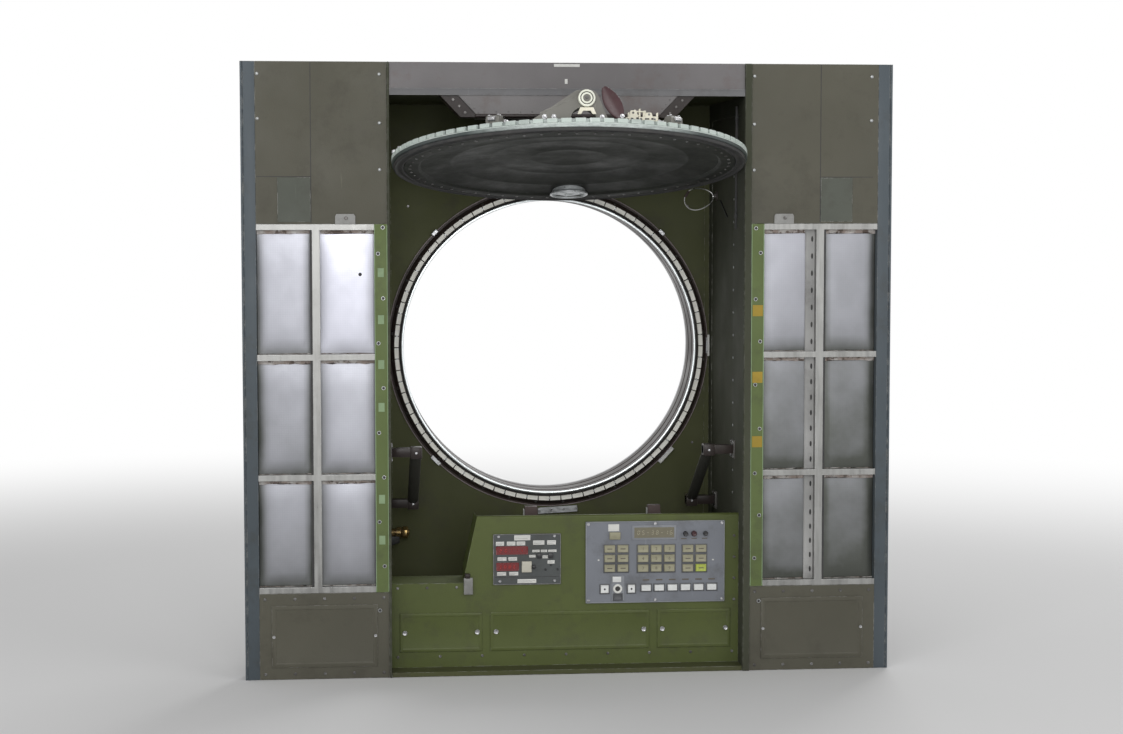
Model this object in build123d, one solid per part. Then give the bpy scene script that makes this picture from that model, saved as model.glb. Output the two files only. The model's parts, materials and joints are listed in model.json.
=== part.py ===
from build123d import *

import math
import os

# Hatch bulkhead of a spacecraft crew compartment. Millimetres. X is to the right seen from the
# cabin, Y points away from the cabin, Z is up. The origin is on the hatchway's axis, on the rear
# face of the tunnel flange that bolts to the next compartment.

# Hatchway frame, from its clear opening outwards
clear_radius = 400.0
lip_width = 6.5
seal_groove_width = 5.0
seat_width = 14.5
outer_band_width = 10.0
ring_thickness = 20.0
ring_proud = 4.0
ring_edge_chamfer = 3.0
seal_groove_depth = 6.0
seal_proud = 1.5
seal_side_gap = 0.3
tooth_count = 84

# Keeper plates round the frame: angle from the right, tangential length, gap to the frame and width
keeper_rows = (
    (0, 44, 1.5, 8),
    (45, 18, 1.5, 9),
    (90, 18, 1.5, 9),
    (135, 18, 1.5, 9),
    (180, 18, 1.5, 8),
    (225, 32, 1.5, 9),
    (273, 110, 9.0, 17),
    (317, 56, 5.0, 10),
)
keeper_height = 8.0

# Tunnel through the wall, and the flange that bolts it to the next compartment
tunnel_wall = 14.0
tunnel_length = 130.0
wall_hole_gap = 0.5
flange_width = 75.0
flange_thickness = 16.0
bolt_count = 12
bolt_circle_width = 50.0
bolt_hole_radius = 5.5
web_thickness = 6.0
web_foot_width = 18.0
web_head_width = 51.0

# Niche that the hatchway lies in
wall_thickness = 12.0
niche_depth = 550.0
right_cheek_thickness = 18.0
left_cheek_thickness = 6.0
cheek_pocket_depth = 2.0
cheek_pocket_margin = 45.0
floor_depth_below_axis = 800.0
niche_plate_thickness = 12.0
crossbar_depth = 38.0
crossbar_thickness = 8.0
crossbar_tunnel_gap = 66.0
crossbar_spread_low = 220.0
crossbar_spread_high = 120.0
upright_offset = 12.0

# Grid of aluminium bays beside the niche, in the front plane
frame_depth = 25.0
inner_post_width = 30.0
bay_width = 137.0
middle_post_width = 20.0
outer_post_width = 36.0
outer_post_depth = 60.0
rail_height = 15.0
rail_levels = (333.0, 9.0, -292.0, -575.0)
bay_panel_lap = 6.0
bay_panel_sheet = 3.0
bay_panel_flange = 15.0
painted_panel_sheet = 4.0
strip_thickness = 3.0
strip_return = 12.0
corner_moulding_depth = 6.0
brace_thickness = 6.0
brace_reach = 275.0
brace_clearance = 4.0
brace_levels = (-680.0, -136.0, 173.0, 560.0)
brace_border = 34.0
post_hole_radius = 5.5
post_hole_rise = 1300.0

# Fascia across the top of the niche, with the hood under it
fascia_height = 68.0
fascia_depth = 60.0
fascia_wall = 4.0
hood_height = 68.0
hood_depth = 180.0
hood_wall = 3.0
hood_low_half_width = 223.0
hood_flare = 65.0
hood_end_width = 45.0
hood_end_setback = 6.0
hood_clearance = 36.0

# Hatch cover, described closed and then swung open about its hinge
seal_gap = 1.0
cover_overhang = 5.0
cover_side_clearance = 5.0
cover_seal_thickness = 8.0
cover_seal_width = 25.0
cover_seal_edge = 4.0
rim_thickness = 21.0
rim_width = 37.0
tooth_gap_width = 14.0
tooth_radial_depth = 6.0
tooth_axial_depth = 12.0
dish_sheet = 6.0
dish_flange_width = 32.0
dish_flange_gap = 1.0
dish_knee = 6.0
dish_rise = 20.0
dish_flat_radius = 200.0
rib_count = 6
rib_thickness = 8.0
rib_height = 34.0
hub_radius = 62.0
hub_height = 46.0
hub_cap_radius = 34.0
hub_cap_height = 12.0
rod_radius = 6.0
rod_height = 12.0
latch_width = 34.0
latch_depth = 28.0
latch_height = 20.0
open_angle = 100.5

# Hinge of the cover
hinge_standoff = 82.0
hinge_rise = 28.0
hinge_offset = 110.0
arm_width = 30.0
arm_side_gap = 1.0
arm_foot = 8.0
arm_foot_length = 36.0
eye_radius = 18.0
pin_radius = 8.0
pin_clearance = 0.05
pin_overhang = 5.0
lug_thickness = 12.0
lug_base = 8.0
lug_base_height = 110.0
lug_base_gap = 4.0

# Fittings on the cover
wheel_bracket_left = 126.0
wheel_bracket_right = 50.0
wheel_bracket_top = 44.0
wheel_bracket_height = 70.0
wheel_bracket_depth = 34.0
wheel_bracket_arch = 30.0
wheel_radius = 20.0
wheel_thickness = 12.0
wheel_drop = 21.0
lever_length = 88.0
lever_width = 30.0
lever_thickness = 7.0
lever_lean = 28.0
lever_offset = 82.0
valve_radius = 50.0
valve_height = 10.0
valve_lip = 5.0
valve_from_axis = 345.0
valve_offset = 25.0

# Cream castings beside the lever and under the wheel
linkage_left = 92.0
linkage_length = 74.0
linkage_height = 26.0
linkage_depth = 22.0
yoke_width = 44.0
yoke_height = 16.0
yoke_depth = 6.0

# Console that stands in the niche under the hatchway
console_front_setback = 60.0
console_depth = 120.0
console_front_swing_gap = 39.0
console_rear_swing_gap = 14.0
console_left = -227.0
console_top_right = 446.0
console_left_flare = 31.0
console_left_slant = 142.0
console_right_slant = 188.0
console_edge_radius = 6.0
console_sheet = 4.0
console_step_drop = 172.0
clip_middles = (-84.0, 236.0)
clip_width = 34.0
clip_depth = 26.0
clip_height = 18.0
clip_setback = 70.0
clip_wall = 5.0

# Handrails on the cheeks: the top end is set back from the front, the low end is in front of the wall
rail_top_setback = 140.0
rail_top_z = -245.0
rail_low_forward = 122.0
rail_low_z = -414.0
rail_standoff = 80.0
rail_width = 27.0
rail_height_section = 14.0
rail_bracket_size = 28.0
rail_foot_size = 46.0
rail_foot_thickness = 6.0

# Places worked out from the sizes above
wall_front_y = -tunnel_length
wall_back_y = wall_front_y + wall_thickness
seat_y = wall_front_y - ring_thickness
crown_y = seat_y - ring_proud
front_y = wall_front_y - niche_depth
seal_inner_radius = clear_radius + lip_width
seat_inner_radius = seal_inner_radius + seal_groove_width
seat_outer_radius = seat_inner_radius + seat_width
ring_radius = seat_outer_radius + outer_band_width
tunnel_radius = clear_radius + tunnel_wall
flange_radius = clear_radius + flange_width
bolt_circle_radius = clear_radius + bolt_circle_width
cover_radius = ring_radius + cover_overhang
niche_half_width = cover_radius + cover_side_clearance
cheek_outer_x = niche_half_width + right_cheek_thickness
left_shift = right_cheek_thickness - left_cheek_thickness
seal_face_y = crown_y - seal_gap
rim_back_y = seal_face_y - cover_seal_thickness
rim_front_y = rim_back_y - rim_thickness
rim_inner_radius = cover_radius - rim_width
dish_radius = cover_radius - cover_seal_edge - cover_seal_width - dish_flange_gap
dish_flange_inner = dish_radius - dish_flange_width
knee_radius = dish_flange_inner - dish_knee
pan_centre_y = rim_back_y - dish_knee - dish_rise
gear_top_y = pan_centre_y - hub_height - hub_cap_height
hinge_y = seat_y - hinge_standoff
hinge_z = cover_radius + hinge_rise
swing_radius = math.hypot(seal_face_y - hinge_y, hinge_z + cover_radius)
floor_z = -floor_depth_below_axis
crossbar_inner = tunnel_radius + crossbar_tunnel_gap
crossbar_heights = (
    -crossbar_inner - crossbar_spread_low,
    -crossbar_inner,
    crossbar_inner,
    crossbar_inner + crossbar_spread_high,
)
rail_ends = (
    (front_y + rail_top_setback, rail_top_z),
    (wall_front_y - rail_low_forward, rail_low_z),
)
bay_outer_x = cheek_outer_x + inner_post_width + 2 * bay_width + middle_post_width
outer_x = bay_outer_x + outer_post_width
frame_back_y = front_y + frame_depth


def opened_height(y, z):
    """Height that a point of the closed cover has once the cover is open."""
    angle = math.radians(-open_angle)
    return hinge_z + (y - hinge_y) * math.sin(angle) + (z - hinge_z) * math.cos(angle)


hood_low_z = round(opened_height(gear_top_y, 0.0) + hood_clearance)
hood_high_z = hood_low_z + hood_height
top_z = hood_high_z + fascia_height
ceiling_z = hood_high_z - niche_plate_thickness
niche_floor_z = floor_z + niche_plate_thickness


# Ways of making shapes
def block(low, high):
    """Box between two opposite corners."""
    size = [high[i] - low[i] for i in range(3)]
    middle = [(high[i] + low[i]) / 2 for i in range(3)]
    return Pos(*middle) * Box(*size)


def toward_cabin(outline, back_y, thickness):
    """Plate with an X-Z outline, growing from back_y towards the cabin."""
    return extrude(Plane.XZ.offset(-back_y) * outline, amount=thickness)


def across(outline, low_x, width):
    """Bar with a Y-Z profile, growing from low_x to the right."""
    return extrude(Plane.YZ.offset(low_x) * outline, amount=width)


def upward(outline, low_z, thickness):
    """Plate with an X-Y outline, growing upwards from low_z."""
    return extrude(Plane.XY.offset(low_z) * outline, amount=thickness)


def outline_of(points):
    """Flat face inside a closed run of straight lines."""
    return make_face(Polyline(*points, close=True))


def turned(points):
    """Solid of revolution about the hatchway's axis, from radius and Y pairs."""
    return revolve(outline_of(points), Axis.Y)


def ring(inner, outer, back_y, thickness):
    return toward_cabin(Circle(outer) - Circle(inner), back_y, thickness)


def around_axis(shape, count, first_angle=0.0):
    """Copies of a shape spaced evenly round the hatchway's axis."""
    step = 360.0 / count
    return [shape.rotate(Axis.Y, first_angle + i * step) for i in range(count)]


def mirrored(shape):
    return mirror(shape, Plane.YZ)


def on_left(shape):
    """Left copy of a piece that stands outside the right cheek, moved in by what the left cheek is thinner."""
    return Pos(left_shift, 0, 0) * mirrored(shape)


def swung_open(shape):
    """Carries a piece of the closed cover to the open pose."""
    axis = Axis((0, hinge_y, hinge_z), (1, 0, 0))
    return shape.rotate(axis, -open_angle)


# Hatchway frame
def hatch_frame():
    """Ring on the wall's cabin face and the tunnel that runs back through the wall from it."""
    groove_y = seat_y + seal_groove_depth
    chamfer = ring_edge_chamfer
    return turned([
        (clear_radius, -flange_thickness),
        (tunnel_radius, -flange_thickness),
        (tunnel_radius, wall_front_y),
        (ring_radius, wall_front_y),
        (ring_radius, seat_y + chamfer),
        (ring_radius - chamfer, seat_y),
        (seat_inner_radius, seat_y),
        (seat_inner_radius, groove_y),
        (seal_inner_radius, groove_y),
        (seal_inner_radius, seat_y),
        (clear_radius, seat_y),
    ])


def rear_flange():
    """Flange at the tunnel's rear end, with its bolt circle."""
    hole = toward_cabin(Pos(bolt_circle_radius, 0) * Circle(bolt_hole_radius), 0, flange_thickness)
    return ring(clear_radius, flange_radius, 0, flange_thickness) - around_axis(hole, bolt_count)


def inner_lip():
    return ring(clear_radius, seal_inner_radius, seat_y, ring_proud)


def frame_seal():
    inner = seal_inner_radius + seal_side_gap
    outer = seat_inner_radius - seal_side_gap
    return ring(inner, outer, seat_y + seal_groove_depth, seal_groove_depth + seal_proud)


def seat_ring():
    return ring(seat_inner_radius, seat_outer_radius, seat_y, ring_proud)


def clamp_plates():
    """Keeper plates on the wall, close round the frame."""
    plates = []
    for angle, length, gap, width in keeper_rows:
        low = (ring_radius + gap, wall_front_y - keeper_height, -length / 2)
        high = (ring_radius + gap + width, wall_front_y, length / 2)
        plates.append(block(low, high).rotate(Axis.Y, -angle))
    return Compound(children=plates)


def frame_webs():
    """Radial webs between the wall and the rear flange, one midway between each pair of bolts."""
    bend_y = wall_back_y + crossbar_depth
    profile = outline_of([
        (tunnel_radius - 1, wall_back_y),
        (tunnel_radius + web_foot_width, wall_back_y),
        (tunnel_radius + web_foot_width, bend_y),
        (clear_radius + web_head_width + tunnel_wall, -flange_thickness - 12),
        (clear_radius + web_head_width + tunnel_wall, -flange_thickness),
        (tunnel_radius - 1, -flange_thickness),
    ])
    web = Pos(0, 0, -web_thickness / 2) * extrude(profile, amount=web_thickness)
    web -= toward_cabin(Circle(tunnel_radius), 0, tunnel_length)
    return Compound(children=around_axis(web, bolt_count, 180.0 / bolt_count))


# Niche
def back_wall():
    low = (-niche_half_width, wall_front_y, niche_floor_z)
    high = (niche_half_width, wall_back_y, ceiling_z)
    hole = toward_cabin(Circle(tunnel_radius + wall_hole_gap), 0, tunnel_length + wall_thickness)
    return block(low, high) - hole


def cheek(thickness):
    """Side wall of the niche, drawn on the right, with a shallow pocket in its inner face."""
    low = (niche_half_width, front_y, floor_z)
    high = (niche_half_width + thickness, wall_back_y, top_z)
    margin = cheek_pocket_margin
    pocket_low = (niche_half_width, front_y + margin, niche_floor_z + margin)
    pocket_high = (niche_half_width + cheek_pocket_depth, wall_front_y - margin, ceiling_z - margin)
    return block(low, high) - block(pocket_low, pocket_high)


def niche_floor():
    return block((-niche_half_width, front_y, floor_z), (niche_half_width, wall_back_y, niche_floor_z))


def niche_ceiling():
    return block((-niche_half_width, front_y, ceiling_z), (niche_half_width, wall_back_y, hood_high_z))


def rear_crossbars():
    bars = []
    for z in crossbar_heights:
        low = (-niche_half_width, wall_back_y, z - crossbar_thickness / 2)
        high = (niche_half_width, wall_back_y + crossbar_depth, z + crossbar_thickness / 2)
        bars.append(block(low, high))
    return Compound(children=bars)


def rear_uprights():
    """Uprights between the two crossbars nearest to the tunnel."""
    high_z = crossbar_inner - crossbar_thickness / 2
    x = niche_half_width - upright_offset
    bar = block((x - crossbar_thickness, wall_back_y, -high_z), (x, wall_back_y + crossbar_depth, high_z))
    return Compound(children=[bar, mirrored(bar)])


# Fascia and hood over the niche
def top_fascia():
    low = (-niche_half_width, front_y, hood_high_z)
    high = (niche_half_width, front_y + fascia_depth, top_z)
    wall = fascia_wall
    hollow_low = (-niche_half_width, front_y + wall, hood_high_z + wall)
    hollow_high = (niche_half_width, front_y + fascia_depth, top_z - wall)
    return block(low, high) - block(hollow_low, hollow_high)


def hood_outline(inset):
    """Trapezoid under the ceiling, drawn inset by a wall thickness on its three free sides."""
    height = ceiling_z - hood_low_z
    flare = hood_flare * height / hood_height
    side_inset = inset * math.hypot(height, flare) / height
    low = hood_low_half_width - side_inset + inset * flare / height
    high = hood_low_half_width + flare - side_inset
    return outline_of([(-low, hood_low_z + inset), (low, hood_low_z + inset), (high, ceiling_z), (-high, ceiling_z)])


def hood():
    shell = toward_cabin(hood_outline(0), front_y + hood_depth, hood_depth)
    return shell - toward_cabin(hood_outline(hood_wall), front_y + hood_depth, hood_depth - hood_wall)


def hood_end_plates():
    """Dark end plates against the hood's slanting sides."""
    height = ceiling_z - hood_low_z
    flare = hood_flare * height / hood_height
    low = hood_low_half_width
    high = low + flare
    outline = outline_of([
        (low, hood_low_z),
        (low + hood_end_width, hood_low_z),
        (high + hood_end_width, ceiling_z),
        (high, ceiling_z),
    ])
    back_y = front_y + hood_depth / 2
    plate = toward_cabin(outline, back_y, hood_depth / 2 - hood_end_setback)
    return Compound(children=[plate, mirrored(plate)])


# Aluminium bays beside the niche, made for the right side and copied to the left
def bay_columns():
    """Left and right edge of each window column."""
    first = cheek_outer_x + inner_post_width
    second = first + bay_width + middle_post_width
    return [(first, first + bay_width), (second, second + bay_width)]


def bay_rows():
    """Low and high edge of each window row, from the top."""
    half = rail_height / 2
    return [(low + half, high - half) for high, low in zip(rail_levels, rail_levels[1:])]


def right_bay_frame():
    half = rail_height / 2
    body = block((cheek_outer_x, front_y, rail_levels[-1] - half), (bay_outer_x, frame_back_y, rail_levels[0] + half))
    for low_x, high_x in bay_columns():
        for low_z, high_z in bay_rows():
            body -= block((low_x, front_y, low_z), (high_x, frame_back_y, high_z))
    return body


def sheet_tray(low_x, high_x, low_z, high_z, face_y, sheet, back_y):
    """Pressed sheet panel with its edges turned back."""
    body = block((low_x, face_y, low_z), (high_x, back_y, high_z))
    hollow = block(
        (low_x + sheet, face_y + sheet, low_z + sheet),
        (high_x - sheet, back_y, high_z - sheet),
    )
    return body - hollow


def right_bay_panels():
    """One panel behind each window, lapping the frame's rear face."""
    lap = bay_panel_lap
    panels = []
    for low_x, high_x in bay_columns():
        for low_z, high_z in bay_rows():
            back_y = frame_back_y + bay_panel_flange
            edges = (low_x - lap, min(high_x + lap, bay_outer_x), low_z - lap, high_z + lap)
            panels.append(sheet_tray(*edges, frame_back_y, bay_panel_sheet, back_y))
    return Compound(children=panels)


def right_upper_panel():
    low_z = rail_levels[0] + rail_height / 2
    return sheet_tray(cheek_outer_x, bay_outer_x, low_z, top_z, front_y, painted_panel_sheet, frame_back_y)


def right_lower_panel():
    high_z = rail_levels[-1] - rail_height / 2
    return sheet_tray(cheek_outer_x, bay_outer_x, floor_z, high_z, front_y, painted_panel_sheet, frame_back_y)


def right_edge_strip():
    """Angle strip on the post beside the niche, its return lying in the bay's opening."""
    low_x = cheek_outer_x
    fold_x = cheek_outer_x + inner_post_width
    outline = outline_of([
        (low_x, front_y),
        (low_x, front_y - strip_thickness),
        (fold_x + strip_thickness, front_y - strip_thickness),
        (fold_x + strip_thickness, front_y + strip_return),
        (fold_x, front_y + strip_return),
        (fold_x, front_y),
    ])
    low_z = rail_levels[-1] - rail_height / 2
    high_z = rail_levels[0] + rail_height / 2
    strip = upward(outline, low_z, high_z - low_z)
    for level in rail_levels:
        low = (fold_x, front_y, level - rail_height / 2)
        high = (fold_x + strip_thickness, front_y + strip_return, level + rail_height / 2)
        strip -= block(low, high)
    return strip


def corner_mouldings():
    """Moulding on the front edge of each cheek."""
    mouldings = []
    for thickness in (right_cheek_thickness, left_cheek_thickness):
        low = (niche_half_width, front_y - corner_moulding_depth, floor_z)
        moulding = block(low, (niche_half_width + thickness, front_y, top_z))
        edges = moulding.edges().filter_by(Axis.Z).sort_by(Axis.Y)[:2]
        mouldings.append(chamfer(edges, corner_moulding_depth / 4))
    return Compound(children=[mouldings[0], mirrored(mouldings[1])])


def right_outer_post():
    post = block((bay_outer_x, front_y, floor_z), (outer_x, front_y + outer_post_depth, top_z))
    middle_z = (floor_z + top_z) / 2
    middle_y = front_y + outer_post_depth / 2
    for z in (middle_z - post_hole_rise / 2, middle_z + post_hole_rise / 2):
        post -= across(Pos(middle_y, z) * Circle(post_hole_radius), bay_outer_x, outer_post_width)
    return post


def bay_braces():
    """Level braces behind the bays, from each cheek to its outer post."""
    inner_edge = cheek_outer_x + inner_post_width - bay_panel_lap - brace_clearance
    clear_y = frame_back_y + bay_panel_flange + brace_clearance
    post_back_y = front_y + outer_post_depth
    reach_y = frame_back_y + brace_reach
    outline = outline_of([
        (cheek_outer_x, frame_back_y),
        (inner_edge, frame_back_y),
        (inner_edge, clear_y),
        (bay_outer_x - brace_clearance, clear_y),
        (bay_outer_x - brace_clearance, post_back_y),
        (outer_x, post_back_y),
        (outer_x, post_back_y + brace_border / 2),
        (cheek_outer_x, reach_y),
    ])
    outline -= outline_of([
        (cheek_outer_x + brace_border, clear_y + brace_border),
        (bay_outer_x - 5 * brace_border, clear_y + brace_border),
        (cheek_outer_x + brace_border, reach_y - 1.6 * brace_border),
    ])
    braces = []
    for z in brace_levels:
        brace = upward(outline, z, brace_thickness)
        braces += [brace, on_left(brace)]
    return Compound(children=braces)


# Console
def console_heights():
    """Height of the top's front edge and rear edge, both clear of the swinging cover."""
    front = front_y + console_front_setback
    rear = front + console_depth
    heights = []
    for y, gap in ((front, console_front_swing_gap), (rear, console_rear_swing_gap)):
        heights.append(hinge_z - math.sqrt((swing_radius + gap) ** 2 - (hinge_y - y) ** 2))
    return heights


def console_body():
    """Sheet housing, open at its rear, that flares at its sides and has a low step on its left."""
    front = front_y + console_front_setback
    rear = front + console_depth
    front_z, rear_z = console_heights()
    outline = outline_of([
        (console_left, front_z),
        (console_top_right, front_z),
        (niche_half_width, front_z - console_right_slant),
        (niche_half_width, niche_floor_z),
        (-niche_half_width, niche_floor_z),
        (-niche_half_width, front_z - console_step_drop),
        (console_left - console_left_flare, front_z - console_step_drop),
        (console_left - console_left_flare, front_z - console_left_slant),
    ])
    body = toward_cabin(outline, rear, console_depth)
    slope = outline_of([(front, front_z), (rear, rear_z), (rear, front_z + 1), (front, front_z + 1)])
    cut = across(slope, console_left - 1, console_top_right - console_left + 2)
    body -= cut
    edge = body.edges().filter_by(Axis.X).sort_by(Axis.Z)[-2:].sort_by(Axis.Y)[0]
    hollow_outline = offset(outline, amount=-console_sheet, kind=Kind.INTERSECTION)
    hollow = toward_cabin(hollow_outline, rear, console_depth - console_sheet)
    return fillet(edge, console_edge_radius) - (hollow - Pos(0, 0, -console_sheet) * cut)


def console_clips():
    """Open clips that stand on the rear of the console's top."""
    front = front_y + console_front_setback
    front_z, rear_z = console_heights()
    fall = (front_z - rear_z) / console_depth
    low_y = front + clip_setback
    high_y = low_y + clip_depth
    top = front_z + clip_height - clip_setback * fall
    outline = outline_of([
        (low_y, front_z - clip_setback * fall),
        (low_y, top),
        (high_y, top),
        (high_y, top - clip_wall),
        (low_y + clip_wall, top - clip_wall),
        (low_y + clip_wall, front_z - clip_setback * fall + clip_wall / 2),
        (high_y, front_z - (high_y - front) * fall + clip_wall),
        (high_y, front_z - (high_y - front) * fall),
    ])
    clips = [across(outline, middle - clip_width / 2, clip_width) for middle in clip_middles]
    return Compound(children=clips)


def on_console(rows, thickness, lift=0.0, taper=0.0):
    """Raised pieces on the console's front, from left, right, drop and height below its top edge."""
    face_y = front_y + console_front_setback - lift
    front_z = console_heights()[0]
    pieces = []
    for left, right, high, low in rows:
        middle = Pos((left + right) / 2, front_z - (high + low) / 2)
        face = Plane.XZ.offset(-face_y) * middle * Rectangle(right - left, low - high)
        pieces.append(extrude(face, amount=thickness, taper=taper))
    return pieces


# Each row holds left and right X, then the top and bottom edge below the console's front top edge.
display_panel_rows = [(-187.0, -14.0, 48.0, 178.0)]
display_panel_thickness = 3.0
display_window_rows = [(-177.0, -101.0, 79.0, 99.0), (-177.0, -124.0, 121.0, 142.0)]
keypad_panel_rows = [(50.0, 409.0, 19.0, 229.0)]
keypad_panel_thickness = 4.0
keypad_window_rows = [(175.0, 278.0, 35.0, 62.0)]
key_height = 5.0
# Each key group: left X, top edge, columns, rows, column pitch, row pitch
key_groups = [(97.0, 79.0, 2, 3, 34.0, 25.0), (183.0, 80.0, 3, 3, 34.0, 25.0), (299.0, 81.0, 2, 3, 34.0, 25.0)]
key_gap = 5.0
# Each knob: X, distance below the top edge, radius
knob_rows = [(303.0, 50.0, 5.0), (326.0, 50.0, 6.0), (357.0, 50.0, 5.0)]
knob_height = 12.0
switch_rows = [(88.0, 109.0, 182.0, 203.0), (158.0, 177.0, 182.0, 203.0)] + [
    (193.0 + 34.0 * i, 218.0 + 34.0 * i, 183.0, 199.0) for i in range(6)
]


def keypad_keys():
    rows = []
    for left, high, columns, count, pitch_x, pitch_z in key_groups:
        for column in range(columns):
            for row in range(count):
                x = left + column * pitch_x
                z = high + row * pitch_z
                rows.append((x, x + pitch_x - key_gap, z, z + pitch_z - key_gap))
    return Compound(children=on_console(rows, key_height, keypad_panel_thickness, 12))


def keypad_knobs():
    """Twelve-sided knobs."""
    face_y = front_y + console_front_setback - keypad_panel_thickness
    front_z = console_heights()[0]
    knobs = []
    for x, drop, radius in knob_rows:
        knobs.append(toward_cabin(Pos(x, front_z - drop) * RegularPolygon(radius, 12), face_y, knob_height))
    return Compound(children=knobs)


# Handrails on the cheeks
def right_rail_brackets():
    """Bracket with a foot on the cheek at each end of the handrail."""
    brackets = []
    half = rail_bracket_size / 2
    foot = rail_foot_size / 2
    cheek_x = niche_half_width + cheek_pocket_depth
    for y, z in rail_ends:
        arm = block((niche_half_width - rail_standoff, y - half, z - half), (cheek_x, y + half, z + half))
        base = block((cheek_x - rail_foot_thickness, y - foot, z - foot), (cheek_x, y + foot, z + foot))
        brackets.append(arm + base)
    return Compound(children=brackets)


def right_handrail():
    """Slanting bar between the two brackets, cut square against each of them."""
    start = Vector(0, *rail_ends[0])
    end = Vector(0, *rail_ends[1])
    along = (end - start).normalized()
    normal = Vector(0, -along.Z, along.Y)
    half = rail_height_section / 2
    size = rail_bracket_size / 2
    first = start + along * (size / along.Y)
    last = end - along * (size / along.Y)
    corners = [first + normal * half, last + normal * half, last - normal * half, first - normal * half]
    low_x = niche_half_width - rail_standoff
    bar = across(outline_of([(p.Y, p.Z) for p in corners]), low_x, rail_width)
    for point in (start, end):
        low = (low_x - 1, point.Y - size, point.Z - 3 * size)
        high = (low_x + rail_width + 1, point.Y + size, point.Z + 3 * size)
        bar -= block(low, high)
    return bar


# Hinge
def hinge_brackets():
    """Lugs on the wall, a pair at each hinge."""
    half = arm_width / 2 + arm_side_gap
    low_z = ring_radius + lug_base_gap
    high_z = low_z + lug_base_height
    lug_outline = outline_of([
        (wall_front_y, low_z),
        (hinge_y, hinge_z - eye_radius),
        (hinge_y - eye_radius * 0.8, hinge_z + eye_radius * 0.6),
        (wall_front_y, high_z),
    ]) + Pos(hinge_y, hinge_z) * Circle(eye_radius)
    lug_outline -= Pos(hinge_y, hinge_z) * Circle(pin_radius + pin_clearance)
    outer = half + lug_thickness
    brackets = []
    for middle in (-hinge_offset, hinge_offset):
        base = block((middle - outer, wall_front_y - lug_base, low_z), (middle + outer, wall_front_y, high_z))
        left = across(lug_outline, middle - outer, lug_thickness)
        right = across(lug_outline, middle + half, lug_thickness)
        brackets.append(base + left + right)
    return Compound(children=brackets)


def hinge_pins():
    length = arm_width + 2 * (arm_side_gap + lug_thickness + pin_overhang)
    pins = []
    for middle in (-hinge_offset, hinge_offset):
        pins.append(across(Pos(hinge_y, hinge_z) * Circle(pin_radius), middle - length / 2, length))
    return Compound(children=pins)


def hinge_arms():
    """Arms from the cover's rim up to the hinge pins."""
    rim_top = math.sqrt(cover_radius**2 - (hinge_offset + arm_width / 2) ** 2)
    foot_high = rim_top - 2
    foot_low = foot_high - arm_foot_length
    outline = outline_of([
        (rim_front_y, foot_low),
        (rim_front_y, foot_high),
        (hinge_y + eye_radius * 0.9, hinge_z - eye_radius * 0.44),
        (hinge_y, hinge_z),
        (hinge_y - eye_radius, hinge_z),
        (rim_front_y - arm_foot, foot_low),
    ]) + Pos(hinge_y, hinge_z) * Circle(eye_radius)
    outline -= Pos(hinge_y, hinge_z) * Circle(pin_radius + pin_clearance)
    arms = [across(outline, middle - arm_width / 2, arm_width) for middle in (-hinge_offset, hinge_offset)]
    return Compound(children=arms)


# Cover
def pan_side(offset):
    """Radius and Y points of the pan's section from the axis to its knee, on its cabin side or an offset behind it."""
    return [
        (0, pan_centre_y + offset),
        (dish_flat_radius, pan_centre_y + offset),
        (knee_radius - offset / 2, rim_back_y - dish_knee + offset),
    ]


def cover_dish():
    """Pressed pan with a flat middle, a cone round it and a flange that lies on the rim's back."""
    flange_back = rim_back_y + dish_sheet
    flange = [
        (dish_flange_inner, rim_back_y),
        (dish_radius, rim_back_y),
        (dish_radius, flange_back),
        (dish_flange_inner - dish_sheet / 2, flange_back),
    ]
    return turned(pan_side(0) + flange + pan_side(dish_sheet)[::-1])


def under_pan():
    """Everything behind the pan's cabin face, to seat pieces on it."""
    return turned(pan_side(0) + [(knee_radius, 0), (0, 0)])


def before_pan():
    """Everything on the cabin side of the far face of the pan and its flange."""
    limit = 2 * gear_top_y
    flange_back = rim_back_y + dish_sheet
    flange = [(dish_flange_inner - dish_sheet / 2, flange_back), (dish_radius, flange_back)]
    return turned(pan_side(dish_sheet) + flange + [(dish_radius, limit), (0, limit)])


def cover_rim():
    """Plain rear half of the rim, which the seal and the pan are fixed to."""
    return ring(rim_inner_radius, cover_radius, rim_back_y, rim_thickness - tooth_axial_depth)


def cover_teeth():
    """Cabin half of the rim, with square gaps between its teeth."""
    notch = Rectangle(2 * tooth_radial_depth, tooth_gap_width)
    band = Circle(cover_radius) - Circle(rim_inner_radius) - PolarLocations(cover_radius, tooth_count) * notch
    return toward_cabin(band, rim_front_y + tooth_axial_depth, tooth_axial_depth)


def cover_seal():
    outer = cover_radius - cover_seal_edge
    return ring(outer - cover_seal_width, outer, rim_back_y + cover_seal_thickness, cover_seal_thickness)


def cover_ribs():
    """Radial ribs from the hub to the rim, seated on the pan."""
    profile = outline_of([
        (hub_radius, rim_back_y),
        (hub_radius, pan_centre_y - rib_height),
        (knee_radius - 1, rim_front_y - rib_height / 2),
        (knee_radius - 1, rim_back_y),
    ])
    rib = Pos(0, 0, -rib_thickness / 2) * extrude(profile, amount=rib_thickness)
    first = 180.0 / rib_count
    return Compound(children=around_axis(rib - under_pan(), rib_count, first))


def drive_hub():
    """Many-sided gear case in the middle of the cover, each flat facing a rib or a rod, with a six-sided cap."""
    flats = 2 * rib_count
    case_outline = RegularPolygon(hub_radius, flats, major_radius=False, rotation=180 / flats)
    case = toward_cabin(case_outline, pan_centre_y, hub_height)
    cap = toward_cabin(RegularPolygon(hub_cap_radius, 6), pan_centre_y - hub_height, hub_cap_height)
    return case + cap


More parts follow.
